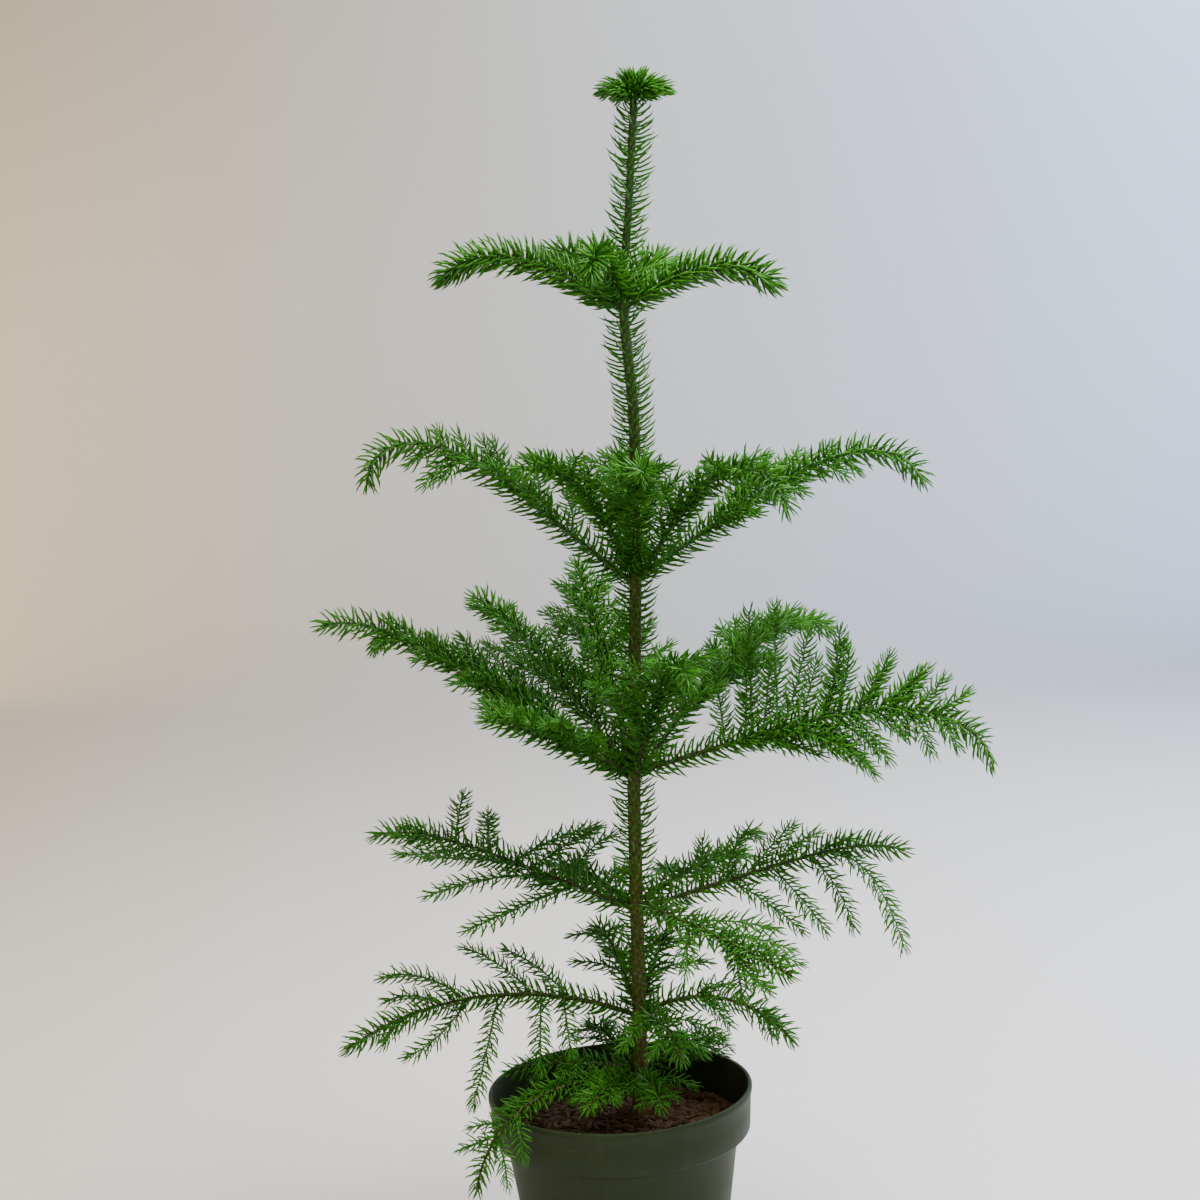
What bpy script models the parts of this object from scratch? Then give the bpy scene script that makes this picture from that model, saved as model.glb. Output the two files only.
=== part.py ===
"""A young Norfolk Island pine in a nursery pot: pot, soil, trunk, boughs and needle foliage.

Metres, +Z up. The origin is the centre of the pot's flat underside, and -Y is the plant's front.
The trunk runs whole from the soil to the crown tuft and carries tiers of boughs. Each bough is one
bare tapering limb, and the foliage that grows on from its tip is one solid: three-sided stems, a
main one and its side twigs, with a corner of every ring drawn out into a needle.
"""

import math
import random
from collections import namedtuple

import bmesh
import bpy
from mathutils import Matrix, Vector, noise
from mathutils.bvhtree import BVHTree

# Pot: a thin turned shell with a deep collar, standing on a flat base with drain holes.
POT_HEIGHT = 0.145
RIM_RADIUS = 0.0825
COLLAR_HEIGHT = 0.031
COLLAR_STEP = 0.0078
COLLAR_TAPER = 0.0022
COLLAR_CHAMFER = 0.0035
WALL_FOOT_RADIUS = 0.056
FOOT_RISE = 0.004
FOOT_ROUND = 0.0018
LIP_HEIGHT = 0.0035
LIP_PROUD = 0.0009
LIP_STEP = 0.0012  # height of the small slope under the lip
RIM_ROUND = (0.0007, 0.0009)  # how far the rim's top edge is cut back, in and down
POT_WALL = 0.0018
POT_STEPS = 36
DRAIN_HOLES = 6
DRAIN_RADIUS = 0.0055
DRAIN_CIRCLE = 0.040
DRAIN_SIDES = 12

# Soil: fills the pot to just under the rim, a little heaped round the trunk.
SOIL_BELOW_RIM = 0.0265
SOIL_FLAT = 0.011  # radius of the flat at the trunk's foot
SOIL_HEAP_REACH = 0.055
SOIL_LUMP = 0.0025
SOIL_LUMP_SCALE = 55.0
SOIL_STEPS = 28
SOIL_RINGS = 5

# Trunk: (height, x, y) that it passes through, and (height, radius) of its taper.
TRUNK_KNOTS = (
    (0.124, 0.0124, 0.010),
    (0.190, 0.0146, 0.009),
    (0.340, 0.0186, 0.010),
    (0.460, 0.0256, 0.012),
    (0.560, 0.0296, 0.012),
    (0.629, 0.0268, 0.010),
    (0.690, 0.0330, 0.009),
    (0.748, 0.0388, 0.010),
)
TRUNK_TAPER = (
    (0.124, 0.0072),
    (0.132, 0.0052),
    (0.160, 0.0045),
    (0.340, 0.0040),
    (0.480, 0.0036),
    (0.629, 0.0030),
    (0.660, 0.0024),
    (0.748, 0.0023),
)
TRUNK_STEPS = 3  # between one of its knots and the next
TRUNK_FLATS = 8
TRUNK_NEEDLES_FROM = 0.165
TRUNK_NEEDLE_STEPS = (0.0070, 0.0030)  # between one needle's height and the next, foot and tip
TRUNK_NEEDLE = 0.0150
TRUNK_NEEDLE_RADIUS = 0.0008
TRUNK_NEEDLE_SIZES = (0.8, 1.1)
TRUNK_NEEDLE_LEANS = (12, 34)
TIER_ROOM = 0.007  # above and below a tier, with no trunk needles
BOUGH_SIDES = 6
BOUGH_RADIUS = 0.0017
BOUGH_TIP_RADIUS = 0.0012
BOUGH_PITCH = 0.018
LIMB_STAGGER = 0.0024  # neighbours in a tier leave the trunk this much higher or lower
LIMB_STEPS = 60
SIDE_STEPS = 1000  # along a limb, to find where it leaves the trunk's side

MERGE = 0.00001
SAME = 0.0001  # heights and radii closer than this count as one
GAP = 0.0003  # between a limb and what carries it
CLEAR = 0.0009  # from a needle to any other solid
GOLDEN = math.radians(137.5)

# Foliage.
STEM_SIDES = 3
STEM_RADIUS = 0.0014
STEM_TIP = 0.6  # share of the stem's radius that is left at its last needles
STEM_END = 0.15  # and at its very end
TWIG_RADIUS = 0.0011
TWIG_ROOT = 0.0004  # narrow at its start, which is sunk to the middle of the main stem
NEEDLE = 0.0125
NEEDLE_ROOT = 0.0026  # along the stem, either side of a needle
NEEDLE_SPREAD = math.radians(62)
NEEDLE_ROLL = math.radians(35)
NEEDLE_SIZES = (0.82, 1.12)
NEEDLE_FADE = 0.25  # needles this much shorter at a stem's tip
TIP_NEEDLE = 0.7  # share of a needle's length that a stem's tip runs on to
STEM_PITCH = 0.0058  # between rings of needles on a main stem
TWIG_PITCH = 0.0070  # and on a side twig
BARE_FOOT = 0.010  # of a stem with no needles, where it leaves the trunk

# A limb leaves the trunk at an azimuth (0 is +X, 90 is the back) and a rise, and its pitch
# falls to the droop at its tip. Its length is along the limb, and angles are in degrees. bend
# sets how late it arches over. It has its own side twigs, or else its tier's pairs.
Limb = namedtuple("Limb", "azimuth length rise droop bend twigs", defaults=((),))
# A side twig leaves the limb at a share of it, on its right (side 1) or left (-1) as it grows
# out, at an angle to it and with a rise, then turns down by its sag.
Twig = namedtuple("Twig", "at side length angle rise sag")
# Pairs stand between the first and last share of the limb. The longest are nearest the trunk.
Twigs = namedtuple("Twigs", "pairs longest angle rise sag first last")
TWIG_STEPS = 10
TWIG_SWING = 6.0  # degrees, either way, from the pairs' own angle
TWIG_SIZES = (0.82, 1.12)
TWIG_RISES = (-0.12, 0.22)  # more or less than the pairs' own rise
TWIG_SHIFT = 0.02  # share of the limb that a twig stands before or after its place
PAIR_SHIFT = 0.012  # and that the two sides of a pair stand apart
TWIG_FULL = 0.42  # share of the limb where twigs start to be shorter than the longest
TWIG_NONE = 1.08  # and where their length would come to nothing
# A tier is a ring of limbs. bare is the share of each that is bare bough, on a limb that is long
# enough to have one.
Tier = namedtuple("Tier", "name height bare twigs limbs")
BARE_LIMB = 0.09

TIERS = (
    Tier("tier_1", 0.146, 0.0, Twigs(2, 0.030, 50, 0.10, 0.8, 0.45, 0.85), (
        Limb(-140, 0.156, 18, -80, 2.0, (
            Twig(0.46, 1, 0.034, 50, 0.10, 0.80),
            Twig(0.50, -1, 0.034, 50, 0.05, 0.80),
            Twig(0.70, 1, 0.026, 52, 0.30, 0.36),
            Twig(0.76, 1, 0.032, 60, -0.14, 0.03),
            Twig(0.67, -1, 0.030, 69, 0.22, 3.47),
            Twig(0.79, -1, 0.032, 78, 0.49, 4.64),
        )),
    )),
    Tier("tier_2", 0.150, 0.0, Twigs(2, 0.034, 50, 0.12, 0.7, 0.42, 0.72), (
        Limb(-113, 0.088, 14, -14, 2.5),
        Limb(38, 0.072, 12, -26, 2.5),
        Limb(118, 0.074, 24, -20, 2.5),
        Limb(-170, 0.086, 13, -15, 2.5),
        Limb(-82, 0.080, 13, -16, 2.5),
    )),
    Tier("tier_3", 0.189, 0.20, Twigs(2, 0.042, 52, 0.12, 0.75, 0.36, 0.72), (
        Limb(183, 0.192, 25, -33, 1.1, (
            Twig(0.24, 1, 0.064, 48, 0.60, 0.62),
            Twig(0.36, 1, 0.058, 36, 0.84, 0.66),
            Twig(0.58, 1, 0.065, 29, 0.88, 1.05),
            Twig(0.66, 1, 0.045, 33, 0.62, 0.95),
            Twig(0.26, -1, 0.040, 95, -0.80, 0.40),
            Twig(0.33, -1, 0.051, 82, -0.57, 1.35),
            Twig(0.47, -1, 0.075, 68, -1.20, -0.23),
            Twig(0.57, -1, 0.058, 37, -0.99, -0.80),
            Twig(0.76, -1, 0.030, 42, 0.10, 0.70),
        )),
        Limb(-72, 0.078, 5, -50, 3.0),
        Limb(-6, 0.108, 35, -57, 1.0),
        Limb(68, 0.070, 36, 15, 3.0),
        Limb(112, 0.085, 47, -24, 3.0),
    )),
    Tier("tier_4", 0.258, 0.20, Twigs(2, 0.046, 50, 0.12, 0.65, 0.36, 0.76), (
        Limb(177, 0.172, 24, -16, 6.0, (
            Twig(0.27, 1, 0.054, 130, 1.29, 0.92),
            Twig(0.41, 1, 0.068, 130, 0.52, 0.17),
            Twig(0.48, 1, 0.085, 130, 0.48, 0.34),
            Twig(0.70, 1, 0.038, 99, 1.67, 0.86),
            Twig(0.24, -1, 0.089, 41, -0.36, 0.09),
            Twig(0.32, -1, 0.089, 29, -0.05, 0.51),
            Twig(0.65, -1, 0.050, 33, -0.38, -0.29),
            Twig(0.80, 1, 0.026, 42, 0.25, 0.60),
        )),
        Limb(-56, 0.153, -2, -8, 1.5, (
            Twig(0.36, 1, 0.050, 40, 0.10, 0.80),
            Twig(0.59, 1, 0.069, 15, -0.34, -0.40),
            Twig(0.64, 1, 0.038, 27, -0.27, 1.09),
            Twig(0.34, -1, 0.056, 50, 0.20, 0.50),
            Twig(0.52, -1, 0.048, 46, 0.15, 0.55),
            Twig(0.72, -1, 0.034, 45, 0.10, 0.50),
        )),
        Limb(-3, 0.172, 16, -22, 6.0, (
            Twig(0.25, -1, 0.039, 88, 0.38, -0.76),
            Twig(0.34, -1, 0.066, 63, 2.57, 2.40),
            Twig(0.52, -1, 0.050, 50, 0.40, 0.60),
            Twig(0.70, -1, 0.034, 45, 0.25, 0.60),
            Twig(0.35, 1, 0.060, 33, -0.49, 0.39),
            Twig(0.51, 1, 0.055, 41, -0.76, 0.37),
            Twig(0.65, 1, 0.056, 46, -0.40, 1.41),
            Twig(0.73, 1, 0.086, 47, 0.12, 2.07),
        )),
        Limb(50, 0.115, 10, -12, 2.0),
        Limb(120, 0.105, 12, -12, 2.0),
    )),
    Tier("tier_5", 0.340, 0.20, Twigs(3, 0.058, 50, 0.34, 0.45, 0.30, 0.80), (
        Limb(176, 0.220, 36, -14, 6.0, (
            Twig(0.25, 1, 0.051, 38, 0.68, 0.46),
            Twig(0.35, 1, 0.056, 40, 0.61, 0.19),
            Twig(0.43, 1, 0.053, 36, 0.85, 0.69),
            Twig(0.58, 1, 0.034, 40, 0.55, 0.60),
            Twig(0.30, -1, 0.055, 45, 0.30, 0.50),
            Twig(0.44, -1, 0.045, 45, 0.25, 0.60),
            Twig(0.60, -1, 0.034, 45, 0.20, 0.60),
            Twig(0.77, -1, 0.022, 47, 0.00, 1.11),
        )),
        Limb(-140, 0.125, 28, 10, 6.0),
        Limb(131, 0.183, 43, 15, 2.3),
        Limb(100, 0.205, 36, 25, 2.0),
        Limb(46, 0.220, 36, -30, 2.5),
        Limb(-8, 0.239, 16, -77, 4.5, (
            Twig(0.25, -1, 0.067, 104, 1.32, -0.39),
            Twig(0.32, -1, 0.081, 92, 1.34, -0.80),
            Twig(0.39, -1, 0.083, 93, 0.99, -0.80),
            Twig(0.52, -1, 0.057, 71, 1.01, -0.80),
            Twig(0.61, -1, 0.042, 52, 1.03, 0.04),
            Twig(0.67, -1, 0.038, 45, 0.47, -0.18),
            Twig(0.36, 1, 0.081, 28, 0.06, 1.01),
            Twig(0.57, 1, 0.045, 46, -0.34, 0.73),
            Twig(0.71, 1, 0.037, 48, -0.02, 1.52),
        )),
        Limb(-70, 0.140, 54, -65, 5.3),
    )),
    Tier("tier_6", 0.461, 0.20, Twigs(2, 0.048, 50, 0.40, 0.45, 0.34, 0.64), (
        Limb(181, 0.205, 42, -99, 5.5, (
            Twig(0.24, 1, 0.044, 95, 0.89, -0.80),
            Twig(0.34, 1, 0.037, 64, 0.85, -0.76),
            Twig(0.48, 1, 0.033, 56, 0.98, 0.06),
            Twig(0.30, -1, 0.046, 50, 0.60, 0.50),
            Twig(0.46, -1, 0.036, 50, 0.45, 0.50),
            Twig(0.68, -1, 0.033, 49, -1.07, -0.25),
        )),
        Limb(-135, 0.130, 60, -15, 2.5),
        Limb(92, 0.150, 38, -5, 3.0),
        Limb(1, 0.203, 31, -75, 5.3, (
            Twig(0.28, 1, 0.046, 50, 0.25, 0.60),
            Twig(0.34, -1, 0.046, 50, 0.60, 0.30),
            Twig(0.50, -1, 0.036, 50, 0.45, 0.30),
            Twig(0.47, 1, 0.036, 50, 0.10, 0.70),
            Twig(0.64, 1, 0.026, 48, -0.10, 0.80),
        )),
        Limb(-46, 0.164, 50, -74, 3.2),
        Limb(-86, 0.120, 60, -10, 2.5),
    )),
    Tier("tier_7", 0.629, 0.0, Twigs(0, 0.0, 45, 0.1, 0.3, 0.4, 0.8), (
        Limb(180, 0.119, 34, -43, 2.5),
        Limb(-104, 0.092, 32, -70, 4.0),
        Limb(3, 0.100, 33, -44, 1.8),
        Limb(62, 0.080, 36, -50, 2.0),
        Limb(128, 0.080, 40, -14, 2.7),
    )),
)
# The crown tuft on the trunk's tip: a short upright stem with a star of sprays round it.
TUFT_HEIGHT = 0.010
TUFT_SPRAYS = 6
TUFT_REACH = 0.015
TUFT_RISE = 24
TUFT_DROOP = -10


def between(knots, height):
    """Row of knots read at a height, smooth through every knot."""
    last = len(knots) - 1
    k = 0
    while k < last - 1 and height > knots[k + 1][0]:
        k += 1
    low, high = knots[k], knots[k + 1]
    before, after = knots[max(k - 1, 0)], knots[min(k + 2, last)]
    span = high[0] - low[0]
    t = min(max((height - low[0]) / span, 0.0), 1.0)
    values = []
    for column in range(1, len(low)):
        leave = (high[column] - before[column]) / (high[0] - before[0]) * span
        arrive = (after[column] - low[column]) / (after[0] - low[0]) * span
        values.append(
            (2 * t**3 - 3 * t**2 + 1) * low[column]
            + (t**3 - 2 * t**2 + t) * leave
            + (3 * t**2 - 2 * t**3) * high[column]
            + (t**3 - t**2) * arrive
        )
    return values


def trunk_point(height):
    x, y = between(TRUNK_KNOTS, height)
    return Vector((x, y, height))


def trunk_radius(height):
    return between(TRUNK_TAPER, height)[0]


def heading(azimuth, pitch):
    return Vector((
        math.cos(pitch) * math.cos(azimuth),
        math.cos(pitch) * math.sin(azimuth),
        math.sin(pitch),
    ))


def limb_line(start, limb):
    """Evenly spaced points of a limb's axis."""
    points = [start.copy()]
    for i in range(LIMB_STEPS):
        t = (i + 0.5) / LIMB_STEPS
        pitch = math.radians(limb.rise + (limb.droop - limb.rise) * t**limb.bend)
        step = heading(math.radians(limb.azimuth), pitch) * (limb.length / LIMB_STEPS)
        points.append(points[-1] + step)
    return points


def length_of(line):
    return sum((b - a).length for a, b in zip(line, line[1:]))


def point_at(line, t):
    place = min(max(t, 0.0), 1.0) * (len(line) - 1)
    i = min(int(place), len(line) - 2)
    return line[i].lerp(line[i + 1], place - i)


def tangent_at(line, t):
    step = 1.0 / (len(line) - 1)
    return (point_at(line, t + step) - point_at(line, t - step)).normalized()


def stretch_of(line, start, end, pitch):
    """The part of a line from one share to another, as points about a pitch apart."""
    count = max(2, round((end - start) * length_of(line) / pitch))
    return [point_at(line, start + (end - start) * i / count) for i in range(count + 1)]


def twig_line(line, twig):
    """Axis of a side twig: out to one side of the limb and forward, then sagging."""
    along = tangent_at(line, twig.at)
    upward = Vector((0, 0, 1))
    sideways = along.cross(upward).normalized() * twig.side
    angle = math.radians(twig.angle)
    direction = along * math.cos(angle) + sideways * math.sin(angle) + upward * twig.rise
    points = [point_at(line, twig.at)]
    for step in range(TWIG_STEPS):
        direction = (direction.normalized() - upward * (twig.sag / TWIG_STEPS)).normalized()
        points.append(points[-1] + direction * (twig.length / TWIG_STEPS))
    return points


def pairs_of(rule, rng):
    """A limb's side twigs by its tier's rule."""
    for pair in range(rule.pairs):
        share = pair / max(rule.pairs - 1, 1)
        middle = rule.first + (rule.last - rule.first) * share
        for side in (-1, 1):
            at = middle + rng.uniform(-TWIG_SHIFT, TWIG_SHIFT) + PAIR_SHIFT * side
            full = rule.longest * min(1.0, (TWIG_NONE - at) / (TWIG_NONE - TWIG_FULL))
            length = full * rng.uniform(*TWIG_SIZES)
            angle = rule.angle + rng.uniform(-TWIG_SWING, TWIG_SWING)
            yield Twig(at, side, length, angle, rule.rise + rng.uniform(*TWIG_RISES), rule.sag)


def has_bough(tier, limb):
    """Whether a limb is long enough to show a bare bough."""
    return tier.bare > 0 and limb.length >= BARE_LIMB


def limbs_of(tier):
    """(number, limb, axis, twig axes, random numbers) of each limb of a tier."""
    for number, limb in enumerate(tier.limbs, 1):
        rng = random.Random(1000 * tier.height + number)
        step = LIMB_STAGGER * (-1) ** number
        line = limb_line(trunk_point(tier.height + step), limb)
        rows = limb.twigs or pairs_of(tier.twigs, rng)
        yield number, limb, line, [twig_line(line, row) for row in rows], rng


def material(name, color, roughness):
    made = bpy.data.materials.new(name)
    made.use_nodes = True
    shader = made.node_tree.nodes["Principled BSDF"]
    shader.inputs["Base Color"].default_value = (*color, 1.0)
    shader.inputs["Roughness"].default_value = roughness
    shader.inputs["Metallic"].default_value = 0.0
    made.diffuse_color = (*color, 1.0)
    return made


def link(name, data, collection, finish=None):
    made = bpy.data.objects.new(name, data)
    collection.objects.link(made)
    if finish:
        data.materials.append(finish)
    return made


def turned(name, profile, steps, collection, finish):
    """Solid of revolution from (radius, height) points that run down its outer side."""
    mesh = bpy.data.meshes.new(name)
    edges = [(i, i + 1) for i in range(len(profile) - 1)]
    mesh.from_pydata([(radius, 0, height) for radius, height in profile], edges, [])
    made = link(name, mesh, collection, finish)
    screw = made.modifiers.new("Turn", "SCREW")
    screw.steps = screw.render_steps = steps
    screw.use_merge_vertices = True
    screw.merge_threshold = MERGE
    return made


def as_mesh(made, collection):
    """The object's evaluated shape as a closed mesh object of the same name."""
    depsgraph = bpy.context.evaluated_depsgraph_get()
    evaluated = made.evaluated_get(depsgraph)
    mesh = bpy.data.meshes.new_from_object(evaluated, depsgraph=depsgraph)
    name, place = made.name, made.matrix_world.copy()
    bpy.data.objects.remove(made)
    mesh.name = name
    solid = link(name, mesh, collection)
    solid.matrix_world = place
    return solid


def weld(mesh):
    """Close a curve's loose caps, and leave only triangles."""
    work = bmesh.new()
    work.from_mesh(mesh)
    bmesh.ops.remove_doubles(work, verts=work.verts, dist=MERGE)
    bmesh.ops.triangulate(work, faces=work.faces, quad_method="SHORT_EDGE")
    work.to_mesh(mesh)
    work.free()


def shade_round(mesh, sharpest):
    mesh.shade_smooth()
    mesh.set_sharp_from_angle(angle=math.radians(sharpest))


def section(sides):
    """A regular outline of unit radius, one corner up, for tubes to be drawn along."""
    curve = bpy.data.curves.new("section", "CURVE")
    outline = curve.splines.new("POLY")
    outline.points.add(sides - 1)
    outline.use_cyclic_u = True
    for number, point in enumerate(outline.points):
        angle = math.pi / 2 - 2 * math.pi * number / sides
        point.co = (math.cos(angle), math.sin(angle), 0.0, 1.0)
    return bpy.data.objects.new("section", curve)


def tube(name, points, radii, sides, collection, finish, upright=False):
    """Tapering tube through the points, with flat sides and flat ends."""
    outline = section(sides)
    collection.objects.link(outline)
    curve = bpy.data.curves.new(name, "CURVE")
    curve.dimensions = "3D"
    curve.twist_mode = "MINIMUM" if upright else "Z_UP"
    curve.bevel_mode = "OBJECT"
    curve.bevel_object = outline
    curve.use_fill_caps = True
    spline = curve.splines.new("POLY")
    spline.points.add(len(points) - 1)
    for knot, point, radius in zip(spline.points, points, radii):
        knot.co = (*point, 1.0)
        knot.radius = radius
    made = as_mesh(link(name, curve, collection, finish), collection)
    bpy.data.objects.remove(outline)
    return made


def combine(made, operation, other, solver="EXACT"):
    """Apply a Boolean with an object, or with every object of a collection, and remove those."""
    boolean = made.modifiers.new("Join", "BOOLEAN")
    boolean.operation = operation
    boolean.solver = solver
    if isinstance(other, bpy.types.Collection):
        boolean.operand_type = "COLLECTION"
        boolean.collection = other
        used = list(other.objects)
    else:
        boolean.object = other
        used = [other]
    bpy.ops.object.select_all(action="DESELECT")
    bpy.context.view_layer.objects.active = made
    bpy.ops.object.modifier_apply(modifier=boolean.name)
    for each in used:
        bpy.data.objects.remove(each)


class Solid:
    """A finished piece's faces, to keep later ones clear of it."""

    def __init__(self, made):
        mesh = made.evaluated_get(bpy.context.evaluated_depsgraph_get()).to_mesh()
        points = [made.matrix_world @ vertex.co for vertex in mesh.vertices]
        self.name = made.name
        self.tree = BVHTree.FromPolygons(points, [face.vertices for face in mesh.polygons])
        self.low = Vector(min(point[axis] for point in points) for axis in range(3))
        self.high = Vector(max(point[axis] for point in points) for axis in range(3))

    def near(self, points, clear):
        """True where the points' box comes within a distance of this solid's box."""
        return all(
            max(point[axis] for point in points) > self.low[axis] - clear
            and min(point[axis] for point in points) < self.high[axis] + clear
            for axis in range(3)
        )

    def meets(self, points, faces, samples, clear):
        """True where the faces cross this solid or a sample point is too close to it."""
        if not self.near(points, clear):
            return False
        if self.tree.overlap(BVHTree.FromPolygons(points, faces)):
            return True
        return any(self.tree.find_nearest(point, clear)[0] for point in samples)


def grow_needles(stem, rings, bare, others, rng):
    """Draw one corner of each ring out into a needle, turn and turn about, where that is clear."""
    mesh = stem.data
    at = [vertex.co.copy() for vertex in mesh.vertices]
    sink = [(0, 1, 2), (0, 2, 3), (0, 3, 4), (0, 4, 1)]

    def corner(ring, side):
        return 2 * STEM_SIDES + STEM_SIDES * ring + side % STEM_SIDES

    def middle_of(ring):
        return sum((at[corner(ring, side)] for side in range(STEM_SIDES)), Vector()) / STEM_SIDES

    # The corners before and after a needle on its own edge close in on it, to keep it slim.
    middles = [middle_of(ring) for ring in range(rings)]
    for ring in range(1, rings - 2):
        for near in (ring - 1, ring + 1):
            if near > 0:
                root = at[corner(ring, ring)]
                gap = at[corner(near, ring)] - root
                at[corner(near, ring)] = root + gap.normalized() * min(NEEDLE_ROOT, gap.length)
    for index, place in enumerate(at):
        mesh.vertices[index].co = place

    for ring in range(1, rings - 2):
        middle = middles[ring]
        if (middle - middles[0]).length < bare:
            continue
        along = (middles[ring + 1] - middles[ring - 1]).normalized()
        fade = 1 - NEEDLE_FADE * ring / rings
        out = (at[corner(ring, ring)] - middle).normalized()
        roll = Matrix.Rotation(rng.uniform(-NEEDLE_ROLL, NEEDLE_ROLL), 3, along)
        way = roll @ out * math.sin(NEEDLE_SPREAD) + along * math.cos(NEEDLE_SPREAD)
        tip = middle + way * NEEDLE * fade * rng.uniform(*NEEDLE_SIZES)
        base = [
            at[corner(ring, ring - 1)],
            at[corner(ring - 1, ring)],
            at[corner(ring, ring + 1)],
            at[corner(ring + 1, ring)],
        ]
        samples = [tip, middle.lerp(tip, 0.7), middle.lerp(tip, 0.4)]
        if not any(solid.meets([tip, *base], sink, samples, CLEAR) for solid in others):
            mesh.vertices[corner(ring, ring)].co = tip


def slim_stem(name, line, start, radius, root, pitch, collection, finish):
    """Three-sided stem along the axis, from a share of it to past its tip, and its ring count."""
    points = stretch_of(line, start, 1.0, pitch)
    last = len(points) - 1
    radii = [root] + [radius * (1 - (1 - STEM_TIP) * i / last) for i in range(1, last + 1)]
    points.append(points[-1] + tangent_at(line, 1.0) * NEEDLE * TIP_NEEDLE)
    radii.append(radius * STEM_END)
    return tube(name, points, radii, STEM_SIDES, collection, finish), len(points)


def touches(made, others):
    """True where a piece meets one of the solids or stands closer to it than the gap."""
    faces = [face.vertices for face in made.data.polygons]
    points = [vertex.co for vertex in made.data.vertices]
    return any(solid.meets(points, faces, points, GAP) for solid in others)


class Mass:
    """One mass of foliage: a main stem from its carrier, with side twigs."""

    def __init__(self, name, carrier, line, start, bare, twigs, rng):
        self.name = name
        self.carrier = carrier
        self.line = line
        self.start = start
        self.bare = bare
        self.twigs = twigs
        self.rng = rng
        self.joined = bpy.data.collections.new(name + "_twigs")
        self.stems = []
        self.solids = []

    def raise_stem(self, solids, parts, finish):
        """The bare main stem."""
        others = [solid for solid in solids if solid.name != self.carrier]
        main = slim_stem(
            self.name, self.line, self.start, STEM_RADIUS, STEM_RADIUS, STEM_PITCH, parts, finish
        )
        if touches(main[0], others):
            met = [each.name for each in others if touches(main[0], [each])]
            raise RuntimeError(f"{self.name}: its stem meets {met}")
        self.stems.append((*main, self.bare))
        self.solids = [Solid(main[0])]

    def raise_twigs(self, solids, cutters, finish):
        """The bare twigs. One that would touch another piece is left out."""
        cutters.children.link(self.joined)
        for number, axis in enumerate(self.twigs, 1):
            name = f"{self.name}_twig_{number}"
            twig, rings = slim_stem(
                name, axis, 0.0, TWIG_RADIUS, TWIG_ROOT, TWIG_PITCH, self.joined, finish
            )
            if touches(twig, solids):
                bpy.data.objects.remove(twig)
            else:
                self.stems.append((twig, rings, 0.0))
                self.solids.append(Solid(twig))

    def dress(self, solids):
        """Needles on every stem, then all of them fused. Returns the mass's own solid.

        The union is MANIFOLD: EXACT leaves half as many faces again in slivers round the roots.
        """
        others = [solid for solid in solids if solid not in self.solids]
        own = list(self.solids)
        for number, (made, rings, bare) in enumerate(self.stems):
            around = others + own[:number] + own[number + 1:]
            grow_needles(made, rings, bare, around, self.rng)
            weld(made.data)
            own[number] = Solid(made)
        mass = self.stems[0][0]
        if self.joined.objects:
            combine(mass, "UNION", self.joined, "MANIFOLD")
        bpy.data.collections.remove(self.joined)
        return Solid(mass)


def hidden(cutter):
    cutter.hide_render = True
    cutter.display_type = "WIRE"
    return cutter


def cylinder(name, radius, low, high, place, sides, collection):
    """Upright closed prism about a place in X and Y, between two heights, as a cutter."""
    work = bmesh.new()
    middle = Matrix.Translation((place[0], place[1], (low + high) / 2))
    bmesh.ops.create_cone(
        work, cap_ends=True, segments=sides, radius1=radius, radius2=radius,
        depth=high - low, matrix=middle,
    )
    mesh = bpy.data.meshes.new(name)
    work.to_mesh(mesh)
    work.free()
    return hidden(link(name, mesh, collection))


def wall_radius(height):
    """Outside of the pot's tapering body, below its collar."""
    top = RIM_RADIUS - COLLAR_TAPER - COLLAR_STEP
    return WALL_FOOT_RADIUS + (top - WALL_FOOT_RADIUS) * height / (POT_HEIGHT - COLLAR_HEIGHT)


def pot_inside():
    """(radius, height) of the pot's inner wall, from its floor up to its mouth."""
    collar_low = POT_HEIGHT - COLLAR_HEIGHT
    return [
        (wall_radius(0) - FOOT_ROUND - POT_WALL, POT_WALL),
        (wall_radius(FOOT_RISE) - POT_WALL, FOOT_RISE),
        (wall_radius(collar_low) - POT_WALL, collar_low),
        (RIM_RADIUS - COLLAR_TAPER - POT_WALL, collar_low + COLLAR_CHAMFER),
        (RIM_RADIUS - LIP_PROUD - POT_WALL, POT_HEIGHT),
    ]


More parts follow.
